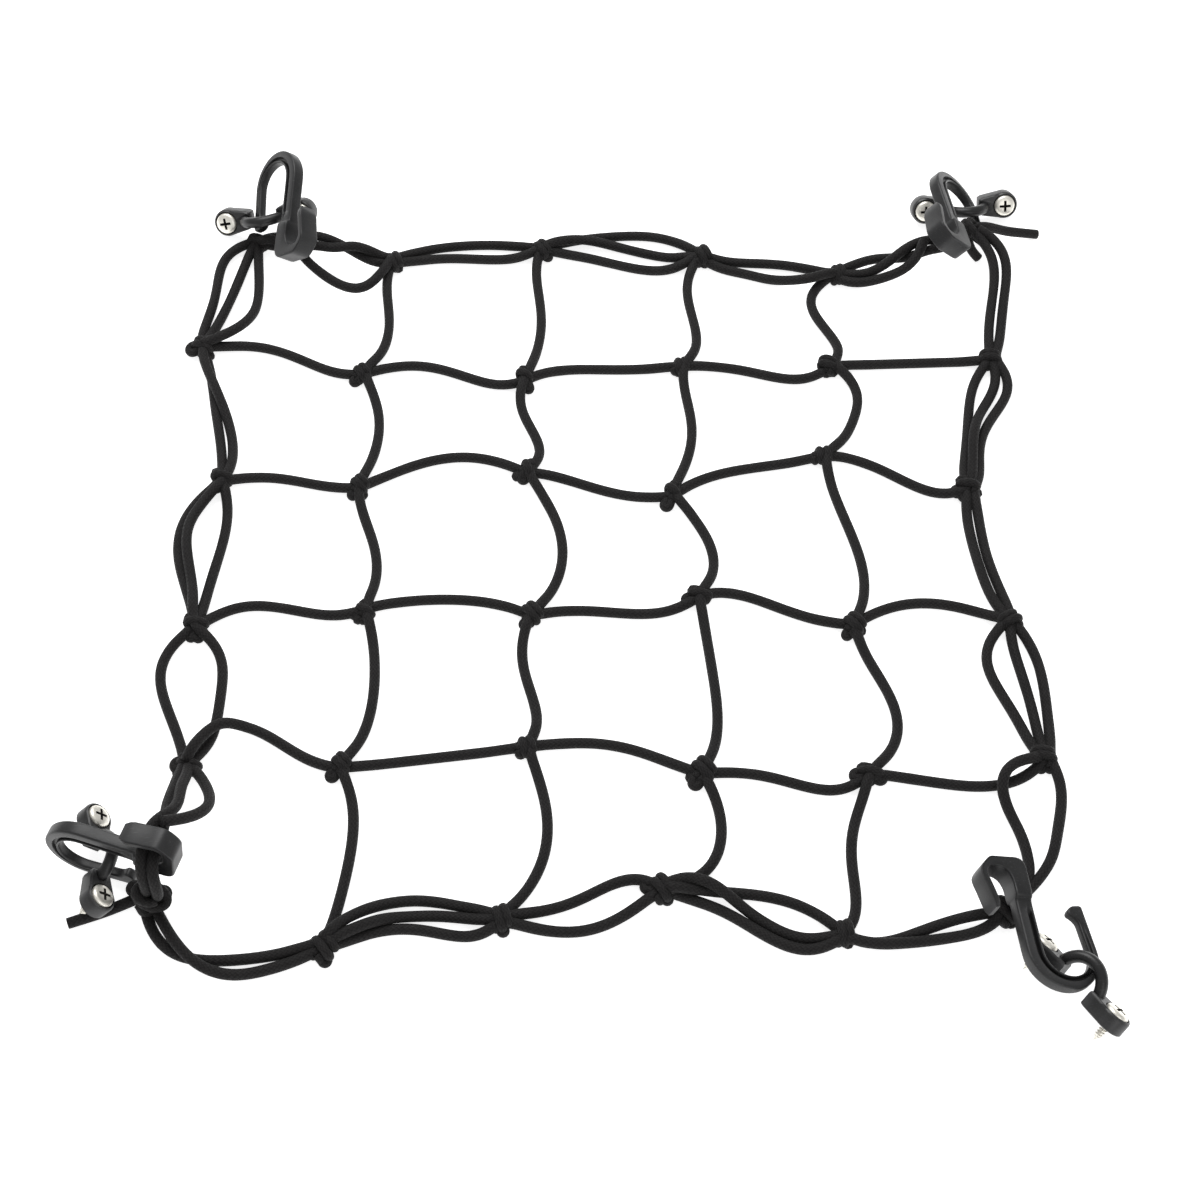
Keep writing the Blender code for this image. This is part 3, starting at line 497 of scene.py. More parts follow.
def bowed_span(start, end, bows):
    """Points of a span in the plan, their parts of it and its chord's length."""
    chord = end[:2] - start[:2]
    long = np.linalg.norm(chord)
    left = np.array((-chord[1], chord[0])) / long
    part = np.linspace(0.0, 1.0, SPAN_POINTS)
    flat = start[:2] + part[:, None] * chord + bow_at(part, bows)[:, None] * left
    return flat, part, long


def strand_route(first, last, one, two, three, lift=0.0, lift_at=0.5):
    """A border strand: it comes down from its ends' heights and rises where it passes over."""
    start, end = end_of(first), end_of(last)
    flat, part, long = bowed_span(start, end, (one, two, three))
    height = np.full(len(part), CORD_RADIUS)
    for level, away in ((start[2], part), (end[2], 1.0 - part)):
        reach = ENTRY_REACH if level == KNOT_ENTRY else long
        height += (level - CORD_RADIUS) * np.clip(1.0 - long * away / reach, 0.0, 1.0)
    height += lift * smooth(1.0 - np.abs(part - lift_at) / BUMP_REACH)
    return np.column_stack((flat, height))


def net_route(labels, bows, rise, lift=None):
    """A row or column cord from border knot to border knot through its inner knots."""
    knots = [knot_at(label) for label in labels]
    spans = [bowed_span(*ends)[0][:-1] for ends in zip(knots, knots[1:], bows)]
    flat = np.vstack(spans + [knots[-1][None, :2]])
    away = [norms(flat - knot[:2]) for knot in knots]
    inner = np.min(away[1:-1], axis=0)
    outer = np.minimum(away[0], away[-1])
    height = CORD_RADIUS + rise * (1.0 - beyond(inner, *OVER_KNOT))
    height += (KNOT_ENTRY - CORD_RADIUS) * np.clip(1.0 - outer / ENTRY_REACH, 0.0, 1.0)
    if lift:
        height += lift[2] * (1.0 - beyond(norms(flat - np.array(lift[:2])), *OVER_STRAND))
    return np.column_stack((flat, height))


def eye_route(parting, side):
    """From a corner knot to a parting, on one side of the pair of cords in the hook's eye."""
    knot, across, points = EYE_ROUTES[parting]
    shift = np.array(across) * PAIR_SPREAD * side
    return np.vstack([knot_at(knot)] + [np.array(point) + shift for point in points])


def end_of(label):
    return np.array(PARTINGS[label], float) if label in PARTINGS else knot_at(label)


def border_routes(name):
    """{piece name: route} of one border: two cords that run all the way, and the third strands."""
    routes = {}
    for cord in (1, 2):
        parts = []
        side = 3 - 2 * cord
        for first, last, strands in BORDER_STRANDS[name]:
            if cord not in strands:
                continue
            span = strand_route(first, last, *strands[cord])
            if first in PARTINGS:
                parts.append(eye_route(first, side))
                span += parting_shift(first, side, span, span[0])
            if last in PARTINGS:
                span += parting_shift(last, side, span, span[-1])
            parts.append(span[1:])
            if last in PARTINGS:
                parts.append(eye_route(last, side)[::-1])
        routes[f"border_{name}_cord_{cord}"] = np.vstack(parts)
    for first, last, strands in BORDER_STRANDS[name]:
        if 3 in strands:
            span = strand_route(first, last, *strands[3])
            if first == "a0_lower":
                span = np.vstack((eye_route(first, 0), span[1:]))
            routes[f"border_{name}_strand_{first[:2]}_{last[:2]}"] = span
    return routes


def parting_shift(label, side, span, corner):
    """Keeps the cords of a pair side by side where they leave a hook's eye."""
    across = np.array(EYE_ROUTES[label][1]) * PAIR_SPREAD * side
    return (1.0 - smooth(norms(span - corner) / PARTING_REACH))[:, None] * across


def lengths_along(points):
    """The distance from a line's start to each of its points, along it."""
    return np.concatenate(([0.0], np.cumsum(norms(np.diff(points, axis=0)))))


def evenly(points, step):
    """The same line with points a step apart."""
    points = np.asarray(points, float)
    lengths = lengths_along(points)
    count = max(4, round(lengths[-1] / step))
    marks = np.linspace(0.0, lengths[-1], count + 1)
    return np.column_stack([np.interp(marks, lengths, points[:, axis]) for axis in range(3)])


def eased(points, rounds):
    """The same line with its corners rounded; the ends stay."""
    points = points.copy()
    for _ in range(rounds):
        points[1:-1] = 0.25 * points[:-2] + 0.5 * points[1:-1] + 0.25 * points[2:]
    return points


def all_routes():
    routes = {}
    for row, bows in ROW_BOWS.items():
        labels = [row + str(column) for column in range(6)]
        lift = ROW_E_LIFT if row == "e" else None
        routes["row_cord_" + row] = net_route(labels, bows, ROW_RISE, lift)
    for column, bows in COLUMN_BOWS.items():
        labels = [row + column for row in KNOTS]
        routes["column_cord_" + column] = net_route(labels, bows, COLUMN_RISE)
    for name in BORDER_STRANDS:
        routes.update(border_routes(name))
    for name, route in TAILS.items():
        routes["tail_" + name] = np.array(route, float)
    return {name: eased(evenly(route, PATH_STEP), 3) for name, route in routes.items()}


def make_room(routes):
    """Moves cords that lie in each other apart, little by little, and keeps them off the floor.

    Cords may share room inside knots.  Near a hook's eye only the third strands make way.
    """
    names = list(routes)
    start = np.vstack([routes[name] for name in names])
    owner = np.concatenate([[i] * len(routes[name]) for i, name in enumerate(names)])
    place = np.concatenate([np.arange(len(routes[name])) for name in names])
    knots = np.array([knot_at(row + str(column)) for row in KNOTS for column in range(6)])
    from_knot = np.min(norms(start[:, None, :2] - knots[None, :, :2]), axis=1)
    opened = beyond(from_knot, *FULL_FROM_KNOT)
    half = CORD_RADIUS * (KNOT_SQUEEZE + (1.0 - KNOT_SQUEEZE) * opened)
    free = beyond(from_knot, *FREE_FROM_KNOT)
    third = np.array(["_strand_" in name for name in names])[owner]
    for _, _, points in EYE_ROUTES.values():
        for point in points:
            held = beyond(norms(start - np.array(point)), *FREE_FROM_EYE)
            free = np.where(third, free, np.minimum(free, held))
    first, second = np.nonzero(np.triu(norms(start[:, None] - start[None]) < ROOM_REACH, 1))
    apart = (owner[first] != owner[second]) | (np.abs(place[first] - place[second]) > OWN_POINTS)
    first, second = first[apart], second[apart]
    change = owner[1:] != owner[:-1]
    ends = np.concatenate(([True], change)) | np.concatenate((change, [True]))
    inner = np.nonzero(~ends)[0]
    moved = np.zeros_like(start)
    for _ in range(ROOM_ROUNDS):
        now = start + moved
        way = now[second] - now[first]
        far = np.maximum(norms(way), LEAST_DISTANCE)
        short = np.clip(half[first] + half[second] - far, 0.0, None)
        push = (ROOM_PUSH * short / far)[:, None] * way
        np.add.at(moved, first, -push * free[first, None])
        np.add.at(moved, second, push * free[second, None])
        moved[inner] = 0.15 * moved[inner - 1] + 0.7 * moved[inner] + 0.15 * moved[inner + 1]
        moved[:, 2] = np.maximum(moved[:, 2], np.minimum(CORD_RADIUS, start[:, 2]) - start[:, 2])
    result = start + moved
    return {name: eased(result[owner == i], 2) for i, name in enumerate(names)}


# ---- tubes

def frames_along(points):
    """Two directions across a line at each point, carried along it without twist."""
    tangents = np.gradient(points, axis=0)
    tangents /= norms(tangents)[:, None]
    up = np.array((0.0, 0.0, 1.0))
    if abs(tangents[0] @ up) > 0.9:
        up = np.array((1.0, 0.0, 0.0))
    sides = []
    side = np.cross(tangents[0], up)
    for tangent in tangents:
        side = side - tangent * (side @ tangent)
        side = side / np.linalg.norm(side)
        sides.append(side)
    sides = np.array(sides)
    return sides, np.cross(sides, tangents)


def circle(sides, radius=1.0):
    angles = [math.tau * corner / sides for corner in range(sides)]
    return [(radius * math.cos(angle), radius * math.sin(angle)) for angle in angles]


def add_ring(bm, places):
    """Vertices at places in millimetres."""
    return [bm.verts.new(Vector(place) * MM) for place in places]


def join_rings(bm, rings):
    """The faces between neighbouring rings, in the order of the rings."""
    faces = []
    for lower, upper in zip(rings, rings[1:]):
        for i in range(len(lower)):
            j = (i + 1) % len(lower)
            faces.append(bm.faces.new((lower[i], lower[j], upper[j], upper[i])))
    return faces


def add_tube(bm, points, radii, sheath_start=0.0):
    """A closed round tube along points in millimetres, with its sheath laid out in a UV map."""
    layer = bm.loops.layers.uv.get("sheath") or bm.loops.layers.uv.new("sheath")
    lengths = lengths_along(points) * MM + sheath_start
    radii = np.minimum(radii, points[:, 2] - FLOOR_GAP)
    rings = []
    for point, side, up, radius in zip(points, *frames_along(points), radii):
        offsets = [(side * x + up * y) * radius for x, y in circle(TUBE_SIDES)]
        rings.append([bm.verts.new((point + offset - PLAN_CENTRE) * MM) for offset in offsets])
    for number, face in enumerate(join_rings(bm, rings)):
        at, i = divmod(number, TUBE_SIDES)
        face.smooth = True
        places = ((i, at), (i + 1, at), (i + 1, at + 1), (i, at + 1))
        for loop, (turn, step) in zip(face.loops, places):
            loop[layer].uv = (turn / TUBE_SIDES, lengths[step])
    for ring, length in ((rings[0][::-1], lengths[0]), (rings[-1], lengths[-1])):
        for corner, loop in enumerate(bm.faces.new(ring).loops):
            loop[layer].uv = (corner / TUBE_SIDES, length)


def node_for(name):
    """The CAD node that a cord stands for."""
    if name.startswith("border_"):
        return "_".join(name.split("_")[:2])
    if name.startswith("tail_"):
        return "corner_lashing_" + "_".join(name.split("_")[1:3])
    return name


def mesh_from(bm, name):
    bmesh.ops.recalc_face_normals(bm, faces=bm.faces)
    mesh = bpy.data.meshes.new(name)
    bm.to_mesh(mesh)
    bm.free()
    return mesh


def add_piece(mesh, node):
    """A visible piece with the name of its mesh."""
    piece = add_object(mesh.name, mesh)
    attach(piece, "root")
    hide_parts(node)
    return piece


def add_cord(name, route, material):
    """One free cord, with slightly uneven thickness; a tail ends in a plain cut."""
    points = evenly(route, TUBE_STEP)
    lengths = np.linspace(0.0, 1.0, len(points)) * len(points) * TUBE_STEP
    radii = CORD_RADIUS * (1.0 + 0.012 * np.sin(lengths / 9.0) + 0.010 * np.sin(lengths / 3.7))
    bm = bmesh.new()
    add_tube(bm, points, radii)
    mesh = mesh_from(bm, "piece_" + name)
    mesh.materials.append(material)
    piece = add_piece(mesh, node_for(name))


# ---- knots

# Knots: direction of the windings' axis in degrees, half its length, half the width and the
# rise of a turn, shift in the plan, and the lobes beside them as (x, y, size)
WINDINGS = {
    "b1": (40, 3.2, 3.2, 2.5, (-0.6, -0.8), ((-4.2, -5.0, 3.0),)),
    "b2": (62, 2.6, 3.0, 2.6, (-0.8, 1.8), ((1.4, -5.6, 2.8), (-2.0, -1.5, 2.6))),
    "b3": (12, 3.6, 3.0, 1.9, (-1.6, -0.6), ((-3.2, -3.6, 2.4), (-4.6, 0.2, 2.4))),
    "b4": (75, 3.4, 3.4, 2.5, (-1.6, -0.6),
           ((-2.6, -4.4, 2.4), (-2.4, 2.4, 2.4), (1.4, -4.0, 2.2))),
    "c1": (48, 3.2, 3.4, 2.6, (0.6, 0.8), ((-3.1, -4.1, 2.8), (2.6, -4.0, 2.2))),
    "c2": (20, 2.8, 3.6, 2.6, (0.8, 1.4), ((-5.2, -1.4, 2.4), (-1.4, -3.2, 3.2))),
    "c3": (45, 3.0, 3.2, 2.6, (0.4, 2.0), ((-3.2, -5.6, 3.3),)),
    "c4": (8, 4.2, 3.0, 1.9, (-1.4, -0.6), ((-5.8, -1.0, 2.6), (-1.0, -2.6, 2.4))),
    "d1": (60, 2.8, 3.4, 2.2, (0.4, -1.6),
           ((-3.6, -6.0, 2.2), (-5.4, -3.0, 2.6), (-0.6, -6.4, 2.2))),
    "d2": (42, 3.6, 4.2, 2.6, (0.2, 0.4), ((-3.8, -4.8, 2.6),)),
    "d3": (86, 2.0, 4.2, 2.2, (1.0, 0.6), ((-5.4, -1.4, 3.2), (-2.6, 0.6, 2.4))),
    "d4": (45, 3.8, 4.0, 2.6, (0.4, -0.4), ((-2.4, 3.2, 2.4), (4.0, -3.0, 2.4), (-3.6, -5.8, 2.6))),
    "e1": (50, 3.2, 3.2, 2.6, (1.2, 1.4), ((-3.2, -4.4, 3.2),)),
    "e2": (18, 3.8, 3.4, 2.1, (-0.4, -0.6), ((-3.2, -3.8, 2.4), (-5.0, -0.4, 2.6))),
    "e3": (45, 4.0, 4.4, 2.7, (1.4, 1.2), ((-2.6, -5.2, 3.6), (-5.0, -1.6, 2.4))),
    "e4": (86, 2.0, 4.4, 2.4, (1.0, 0.2), ((-5.8, -0.8, 3.6), (5.8, -2.4, 3.4), (1.0, -3.4, 2.4))),
    "a1": (28, 3.6, 3.9, 2.7, (0.9, -0.2), ((-3.6, -3.6, 3.0), (4.0, -2.4, 2.2))),
    "a2": (40, 3.4, 3.9, 2.6, (0.6, -0.6), ((4.4, -4.0, 2.6),)),
    "a3": (30, 3.8, 4.0, 2.7, (2.0, -0.6), ((4.0, -4.4, 2.6), (-3.4, 0.6, 2.6))),
    "a4": (20, 3.2, 3.8, 2.6, (3.0, 0.6), ((-2.0, 0.4, 2.6),)),
    "b0": (70, 3.4, 4.0, 2.8, (0.4, 0.2), ((-4.8, -0.4, 4.6), (4.6, -4.4, 2.2))),
    "c0": (86, 2.0, 4.0, 2.8, (-0.4, 2.6), ((-3.6, -2.4, 3.2),)),
    "d0": (88, 2.6, 4.3, 2.8, (0.0, 2.2), ((-2.4, -4.4, 2.8), (1.4, -4.8, 2.8))),
    "e0": (80, 3.0, 4.2, 2.8, (1.2, 0.0), ((-4.4, 0.4, 4.2), (-3.6, -3.4, 3.2))),
    "b5": (88, 3.2, 3.8, 2.7, (-0.4, 0.6), ((-2.4, -2.6, 2.6),)),
    "c5": (86, 2.6, 4.2, 2.8, (-0.6, 1.6),
           ((-6.6, -1.0, 3.6), (-3.0, -3.8, 3.2), (4.6, -1.6, 2.2))),
    "d5": (122, 3.4, 3.8, 2.7, (0.4, -0.4), ((2.0, -4.4, 2.4),)),
    "e5": (86, 3.2, 4.2, 2.8, (-1.0, 1.0), ((-2.6, -4.0, 2.8), (2.0, -4.0, 2.8))),
    "f1": (40, 4.6, 4.8, 2.9, (0.4, -1.2), ((1.0, -7.4, 3.0), (-4.8, -3.4, 3.0))),
    "f2": (22, 3.6, 4.4, 2.9, (0.4, 0.2), ((1.6, -5.4, 2.6),)),
    "f3": (38, 4.0, 4.8, 2.9, (-0.2, -0.6), ((-6.8, 1.4, 3.8), (2.4, -5.4, 2.6), (4.4, 3.2, 2.4))),
    "f4": (14, 3.4, 4.2, 2.9, (0.4, 0.2), ((-4.4, -2.0, 2.6), (2.6, -3.8, 2.2))),
    "a0": (75, 3.2, 4.0, 1.9, (0.0, -0.9), ((3.6, -2.6, 2.4),)),
    "a5": (30, 3.0, 3.8, 2.6, (0.0, 0.0), ((-3.4, -2.4, 2.4),)),
    "f0": (32, 5.2, 5.8, 4.6, (2.0, -4.4), ((9.0, -1.4, 3.6), (-5.4, 1.2, 3.8), (2.0, -10.0, 3.2))),
    "f5": (50, 4.0, 5.0, 3.0, (0.0, 0.0), ((-4.6, 1.0, 3.0), (3.0, -4.4, 2.8))),
}
WINDING_RADIUS = 2.1
WINDING_STARTS = 145.0  # degrees round the axis, from the plan
WINDING_SLANT = 0.9  # of its turns along the axis
FEW_TURNS, MANY_TURNS = 1.8, 2.2
LONG_KNOT = 3.0  # half the length from which a knot has many turns
LOBE_RADIUS = 2.15
LOBE_SIZE = 2.4  # of a lobe that has the height below
LOBE_HEIGHT = 3.6
LOBE_OUT = 0.88
CORE_RADIUS = 1.6  # twice as much in its middle
CORE_HEIGHT = 3.9
KNOT_BASES = {"a5": 13.3, "f0": 4.6}  # under knots that their cords hold up
# Turns round a pair above its knot: parting, centre, direction of the pair, half the width and
# depth of a turn, and how far it slants
PAIR_WRAPS = {"f0": ("f0_eye", (-191.4, -187.6, 16.2), (2.2, -3.2, 8.0), 7.0, 4.4, -1.6)}
WRAP_TURNS = 1.7
WRAP_STARTS = 60.0  # degrees round the pair
KNOT_GROUPS = {
    **{"column_cord_" + c: [r + c for r in "bcde"] for c in "1234"},
    "border_back": ["a1", "a2", "a3", "a4"],
    "border_left": ["b0", "c0", "d0", "e0"],
    "border_right": ["b5", "c5", "d5", "e5"],
    "border_front": ["f1", "f2", "f3", "f4"],
    **{"corner_lashing_" + c: [k] for c, k in zip(HOOK_PLACES, ("a0", "a5", "f0", "f5"))},
}


def knot_base(label):
    return KNOT_BASES.get(label, 0.0)


def winding_route(label):
    """A cord's turns round a knot: a helix round its axis, tucked in at both ends."""
    axis, half_length, half_width, rise, shift, _ = WINDINGS[label]
    turns = MANY_TURNS if half_length > LONG_KNOT else FEW_TURNS
    part = np.linspace(0.0, 1.0, 160)
    angle = math.radians(WINDING_STARTS) + math.tau * turns * part
    tuck = 0.3 + 0.7 * smooth(np.minimum(part, 1.0 - part) / 0.12)
    along = half_length * (1.9 * part - 0.95) + WINDING_SLANT * np.cos(angle) * tuck
    across = half_width * np.cos(angle) * tuck
    height = WINDING_RADIUS + 0.15 + rise * (1.0 + np.sin(angle) * tuck) + knot_base(label)
    turn = math.radians(axis)
    x, y, _ = knot_at(label)
    flat_x = x + shift[0] + along * math.cos(turn) - across * math.sin(turn)
    flat_y = y + shift[1] + along * math.sin(turn) + across * math.cos(turn)
    return np.column_stack((flat_x, flat_y, height))


def lobe_route(label, lobe):
    """A loop's end beside a knot, from its middle round and back; large lobes sit higher."""
    dx, dy, size = lobe
    x, y, _ = knot_at(label)
    centre = np.array((x, y, knot_base(label) + LOBE_HEIGHT + 0.7 * (size - LOBE_SIZE)))
    out = np.array((LOBE_OUT * dx, LOBE_OUT * dy, -1.0))
    out_way = out / np.linalg.norm(out)
    side = np.array((-out_way[1], out_way[0], 0.0))
    reach = 0.9 * size - 1.4
    points = [centre + 0.15 * out + 0.5 * side]
    for step in range(9):
        angle = math.pi * (step / 8 - 0.5)
        points.append(centre + out + reach * (math.cos(angle) * out_way - math.sin(angle) * side))
    points.append(centre + 0.15 * out - 0.5 * side - np.array((0.0, 0.0, 0.6)))
    return eased(evenly(points, 0.5), 4)


def core_route(label):
    """What the windings hold: the doubled cord inside a knot."""
    axis, half_length, _, _, shift, _ = WINDINGS[label]
    turn = math.radians(axis)
    x, y, _ = knot_at(label)
    along = np.linspace(-half_length - 1.0, half_length + 1.0, 9)
    middle = np.array((x + 0.7 * shift[0], y + 0.7 * shift[1], knot_base(label) + CORE_HEIGHT))
    return middle + np.outer(along, (math.cos(turn), math.sin(turn), 0.0))


def wrap_route(label):
    """Turns round the pair of cords where it leaves a corner knot for the hook's eye."""
    parting, centre, way, half_width, half_depth, slant = PAIR_WRAPS[label]
    axis = np.array(way) / np.linalg.norm(way)
    depth = np.cross(axis, EYE_ROUTES[parting][1])
    depth /= np.linalg.norm(depth)
    across = np.cross(depth, axis)
    part = np.linspace(0.0, 1.0, 90)
    angle = math.radians(WRAP_STARTS) + math.tau * WRAP_TURNS * part
    tuck = 0.5 + 0.5 * smooth(np.minimum(part, 1.0 - part) / 0.15)
    along = WRAP_TURNS * CORD * (part - 0.5) + slant * np.cos(angle)
    return (np.array(centre) + np.outer(half_width * np.cos(angle) * tuck, across)
            + np.outer(half_depth * np.sin(angle) * tuck, depth) + np.outer(along, axis))


def add_knots(node, labels, material, ends):
    """The windings and lobes of some knots, with cord ends too short to be cords of their own.

    Each tube starts at its own place on the sheath, so that their braids don't line up.
    """
    bm = bmesh.new()
    for number, label in enumerate(labels):
        start = 0.5 * number
        if label in PAIR_WRAPS:
            add_tube(bm, evenly(wrap_route(label), WINDING_STEP), WINDING_RADIUS, start + 0.3)
        add_tube(bm, evenly(winding_route(label), WINDING_STEP), WINDING_RADIUS, start)
        for lobe in WINDINGS[label][5]:
            add_tube(bm, lobe_route(label, lobe), LOBE_RADIUS, start + 0.1)
        points = evenly(core_route(label), WINDING_STEP)
        swell = np.sin(np.linspace(0.12, 0.88, len(points)) * math.pi)
        add_tube(bm, points, CORE_RADIUS * (1.0 + swell), start + 0.2)
    for route in ends:
        add_tube(bm, evenly(route, WINDING_STEP), CORD_RADIUS)
    mesh = mesh_from(bm, "knots_" + node)
    mesh.materials.append(material)
    add_piece(mesh, node)


# ---- hook

def catmull(rows, steps):
    """Rows of numbers carried smoothly from one to the next, with steps between them."""
    rows = np.asarray(rows, float)
    padded = np.vstack((2 * rows[0] - rows[1], rows, 2 * rows[-1] - rows[-2]))
    result = []
    for i in range(1, len(padded) - 2):
        a, b, c, d = padded[i - 1:i + 3]
        for t in np.arange(steps) / steps:
            result.append(0.5 * (2 * b + (c - a) * t + (2 * a - 5 * b + 4 * c - d) * t ** 2
                                 + (3 * b - a - 3 * c + d) * t ** 3))
    result.append(rows[-1])
    return np.array(result)


def hook_stations():
    """Sections along the hook from its wing to its tip: a point on the bend's side, the point
    across from it, half width, and depth of the groove from 0 to 1."""
    rows = []
    for (ax, ay), (bx, by) in HEAD_BAND:
        rows.append((ax, HOOK_LENGTH - ay, bx, HOOK_LENGTH - by, HEAD_WIDTH / 2, 0.0))
    for below, width, groove in HOOK_SHANK:
        level = HOOK_LENGTH - below
        rows.append((SHANK_DEPTH, level, SHANK_RIM, level, width, groove))
    centre = np.array((SHANK_MIDDLE + HOOK_BEND_RADIUS, 0.0))
    for step in range(HOOK_BEND_STEPS + 1):
        part = step / HOOK_BEND_STEPS
        angle = math.radians(HOOK_BEND_START + part * (HOOK_BEND_END - HOOK_BEND_START))
        outward = np.array((math.cos(angle), math.sin(angle)))
        taper = smooth(part)
        depth = (SHANK_DEPTH + (TIP_DEPTH - SHANK_DEPTH) * taper) / 2
        width = (SHANK_WIDTH + (TIP_WIDTH - SHANK_WIDTH) * taper) / 2
        middle = centre + outward * HOOK_BEND_RADIUS
        sides = (*(middle - outward * depth), *(middle + outward * depth))
        rows.append((*sides, width, 1.0 - 0.5 * part))
    along = np.array((-outward[1], outward[0]))
    half = TIP_DEPTH / 2
    for distance, barb, groove in HOOK_TIP:
        at = middle + along * distance
        sides = (*(at - outward * (half + barb)), *(at + outward * half))
        rows.append((*sides, TIP_WIDTH / 2, groove))
    return catmull(rows, 3)


def corner_arc(x, y, radius, way):
    """A quarter circle about x, y, from straight across the section, in five points."""
    angles = [math.pi / 2 * (1.0 + way * step / 4) for step in range(5)]
    return [(x + radius * math.cos(angle), y + radius * math.sin(angle)) for angle in angles]


def hook_profile(depth, width, groove):
    """Section of the bar: x from the outer to the inner side, y across; rounded, with a groove."""
    near, far = GROOVE_FROM * depth, GROOVE_TO * depth
    sink = GROOVE_SINK * width * groove
    corner = min(HOOK_ROUNDING, 0.45 * width, 0.45 * depth)
    half = corner_arc(-depth + corner, width - corner, corner, 1)[::-1]
    half += [(near - GROOVE_SLOPE, width), (near, width - 0.25 * sink),
             (near + GROOVE_SLOPE, width - sink), (far - GROOVE_SLOPE, width - sink),
             (far, width - 0.25 * sink), (far + GROOVE_SLOPE, width)]
    half += corner_arc(depth - corner, width - corner, corner, -1)
    return half + [(x, -y) for x, y in reversed(half)]


def make_hook_mesh():
    stations = hook_stations()
    bm = bmesh.new()
    rings = []
    last = len(stations) - 1
    for index, (ax, ay, bx, by, width, groove) in enumerate(stations):
        inner, outer = np.array((ax, ay)), np.array((bx, by))
        middle = (inner + outer) / 2
        depth = np.linalg.norm(inner - outer) / 2
        direction = (inner - outer) / (2 * depth)
        shrink = END_ROUNDING[min(index, last - index, 2)]
        rings.append(add_ring(bm, [(*(middle + direction * x * shrink), y * shrink)
                                   for x, y in hook_profile(depth, width, max(groove, 0.0))]))
    close_rings(bm, rings)
    return mesh_from(bm, "hook_shape")


def close_rings(bm, rings):
    join_rings(bm, rings)
    bm.faces.new(rings[0][::-1])
    bm.faces.new(rings[-1])


# ---- pad eye and screw

def foot_edge(angle):
    """Distance from the screw's axis to the foot's edge; angle 180 looks to the arch."""
    direction = np.array((math.cos(angle), math.sin(angle)))
    shoulder = math.radians(FOOT_ARC)
    if abs(angle) <= shoulder:
        return FOOT_RADIUS
    long = SCREW_SPACING / 2 - FOOT_INNER_END
    corner = np.array((-long, FOOT_INNER_WIDTH / 2))
    start = FOOT_RADIUS * np.array((math.cos(shoulder), math.sin(shoulder)))
    direction[1] = abs(direction[1])
    side = corner - start
    across = np.array((side[1], -side[0]))
    to_side = (start @ across) / (direction @ across)
    to_end = long / -direction[0]
    return min(to_side, to_end)


def add_foot(bm, side):
    """One foot with its counterbored screw hole, as rings round the screw's axis."""
    angles = [math.tau * (step + 0.5) / FOOT_SIDES - math.pi for step in range(FOOT_SIDES)]
    top, bottom = FOOT_THICKNESS, FOOT_THICKNESS - COUNTERBORE_DEPTH
    rim = COUNTERBORE_RADIUS + COUNTERBORE_BEVEL
    # Height, with the distance inside the foot's edge or else the radius
    levels = ((0.0, 0.5, None), (0.4, 0.0, None), (top - 1.3, 0.0, None), (top - 0.5, 0.25, None),
              (top, 1.0, None), (top, None, rim),
              (top - COUNTERBORE_BEVEL, None, COUNTERBORE_RADIUS),
              (bottom, None, COUNTERBORE_RADIUS), (bottom, None, SCREW_HOLE_RADIUS),
              (0.0, None, SCREW_HOLE_RADIUS))
    rings = []
    for height, inset, radius in levels:
        places = []
        for angle in angles:
            reach = radius if inset is None else max(foot_edge(angle) - inset, rim)
            x = SCREW_SPACING / 2 + reach * math.cos(angle)
            places.append((side * x, reach * math.sin(angle), height))
        rings.append(add_ring(bm, places))
    join_rings(bm, rings + rings[:1])


def add_arch(bm):
    points = [(-ARCH_HALF_WIDTH, level) for level in ARCH_FOOT_LEVELS]
    for step in range(ARCH_STEPS + 1):
        angle = math.pi * (1.0 - step / ARCH_STEPS)
        height = ARCH_SPRING + ARCH_RISE * math.sin(angle)
        points.append((ARCH_HALF_WIDTH * math.cos(angle), height))
    points += [(ARCH_HALF_WIDTH, level) for level in reversed(ARCH_FOOT_LEVELS)]
    points = np.array(points)
    tangents = np.gradient(points, axis=0)
    rings = []
    for (x, z), tangent in zip(points, tangents):
        along = tangent / np.linalg.norm(tangent)
        rings.append(add_ring(bm, [(x - along[1] * out, y, z + along[0] * out)
                                   for out, y in circle(ARCH_SIDES, ARCH_BAR_RADIUS)]))
    close_rings(bm, rings)


def joined_mesh(base, operation, tools):
    """The base shape's mesh after exact joins or cuts."""
    made = [add_object("shape", mesh_from(bm, "shape")) for bm in [base] + tools]
    for tool in made[1:]:
        modifier = made[0].modifiers.new(tool.name, "BOOLEAN")
        modifier.operation = operation
        modifier.solver = "EXACT"
        modifier.object = tool
    bpy.context.view_layer.update()
    depsgraph = bpy.context.evaluated_depsgraph_get()
    mesh = bpy.data.meshes.new_from_object(made[0].evaluated_get(depsgraph))
    for used in made:
        bpy.data.objects.remove(used, do_unlink=True)
    return mesh


def make_pad_eye_mesh():
    arch, feet = bmesh.new(), bmesh.new()
    add_arch(arch)
    for side in (-1, 1):
        add_foot(feet, side)
    return joined_mesh(arch, "UNION", [feet])


def thread_radius(height, turn):
    """Of the shank at a height and a part of a turn; it runs thin towards the point."""
    phase = (height / THREAD_PITCH - turn) % 1.0
    taper = min(1.0, (height - SCREW_POINT[0][0]) / SCREW_TAPER)
    thread = max(0.0, 1.0 - abs(phase - 0.5) / THREAD_WIDTH)
    return (THREAD_CORE + THREAD_DEPTH * thread) * taper


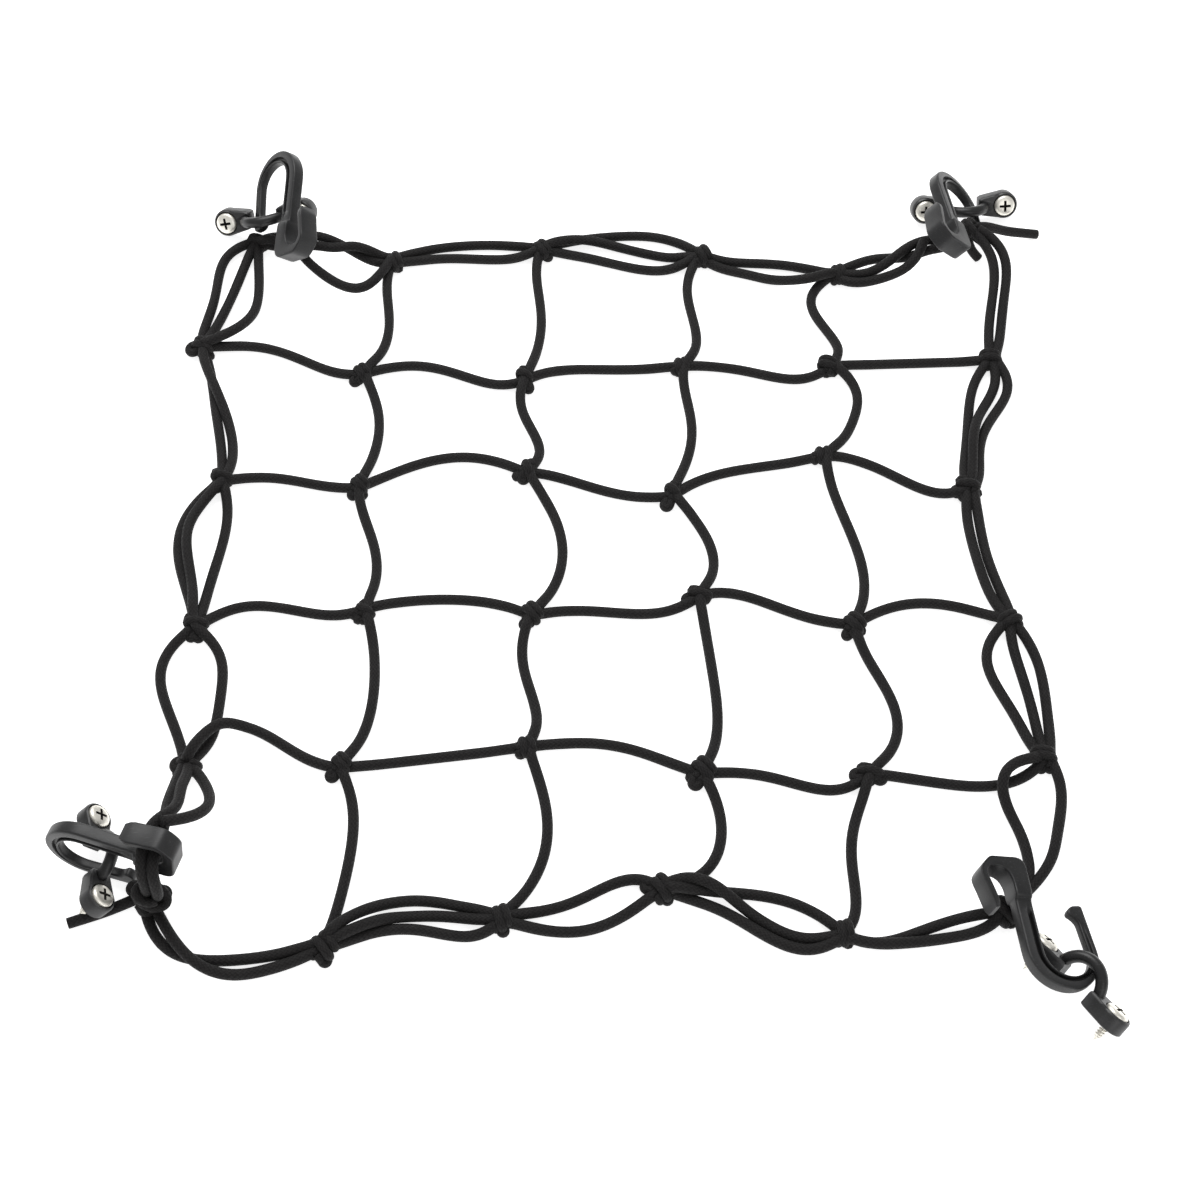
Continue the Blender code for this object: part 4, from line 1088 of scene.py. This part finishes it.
def make_screw_mesh():
    """Pan head with a cross recess on a threaded shank."""
    turns = [corner / SCREW_SIDES for corner in range(SCREW_SIDES)]
    levels = [(height, [radius] * SCREW_SIDES) for height, radius in SCREW_POINT]
    for height in np.arange(*THREAD_HEIGHTS):
        levels.append((height, [thread_radius(height, turn) for turn in turns]))
    levels += [(height, [radius] * SCREW_SIDES) for height, radius in SCREW_HEAD]
    bm = bmesh.new()
    close_rings(bm, [add_ring(bm, [(radius * x, radius * y, height)
                                   for radius, (x, y) in zip(radii, circle(SCREW_SIDES))])
                     for height, radii in levels])
    cutters = []
    for angle in (0.0, math.pi / 2):
        cutter = bmesh.new()
        spin = Matrix.Rotation(angle, 3, "Z")
        close_rings(cutter, [add_ring(cutter, [spin @ Vector((x * long, y * wide, height))
                                               for x, y in ((-1, -1), (1, -1), (1, 1), (-1, 1))])
                             for height, long, wide in RECESS_ENDS])
        cutters.append(cutter)
    return joined_mesh(bm, "DIFFERENCE", cutters)


def darken_recess(mesh, material):
    """Gives the faces inside the cross recess the second material, which paints shade there."""
    mesh.materials.append(material)
    low, high = RECESS_HEIGHTS
    for face in mesh.polygons:
        x, y, z = face.center / MM
        if low < z < high and math.hypot(x, y) < RECESS_REACH:
            face.material_index = 1


def add_copy(name, mesh, matrix):
    """One fitting: its shape's mesh, put in its place."""
    placed = mesh.copy()
    placed.name = "piece_" + name
    placed.transform(Matrix.Translation(-Vector(PLAN_CENTRE) * MM) @ matrix)
    add_piece(placed, name)


def placing(location, degrees):
    rotation = Euler([math.radians(angle) for angle in degrees]).to_matrix().to_4x4()
    return Matrix.Translation(Vector(location) * MM) @ rotation


def ready(mesh, material, sharp):
    mesh.materials.clear()
    mesh.materials.append(material)
    mesh.shade_smooth()
    mesh.set_sharp_from_angle(angle=math.radians(sharp))
    return mesh


def build():
    add_camera()
    add_studio()
    cord = cord_material()
    routes = make_room(all_routes())
    short_tail = routes.pop("tail_back_right_short")
    for name, route in routes.items():
        add_cord(name, route, cord)
    for node, labels in KNOT_GROUPS.items():
        add_knots(node, labels, cord, [short_tail] if labels == ["a5"] else [])
    hook = ready(make_hook_mesh(), plastic_material("hook_plastic"), sharp=40.0)
    pad_eye = ready(make_pad_eye_mesh(), plastic_material("pad_eye_plastic"), sharp=35.0)
    screw = ready(make_screw_mesh(), screw_material(), sharp=35.0)
    darken_recess(screw, recess_material())
    for corner in HOOK_PLACES:
        add_copy("hook_" + corner, hook, placing(*HOOK_PLACES[corner]))
        base = placing(*PAD_EYE_PLACES[corner])
        add_copy("pad_eye_" + corner, pad_eye, base)
        for number, side in ((1, -1), (2, 1)):
            seat = base @ Matrix.Translation((side * SCREW_SPACING / 2 * MM, 0.0, 0.0))
            add_copy(f"screw_{corner}_{number}", screw, seat)


build()
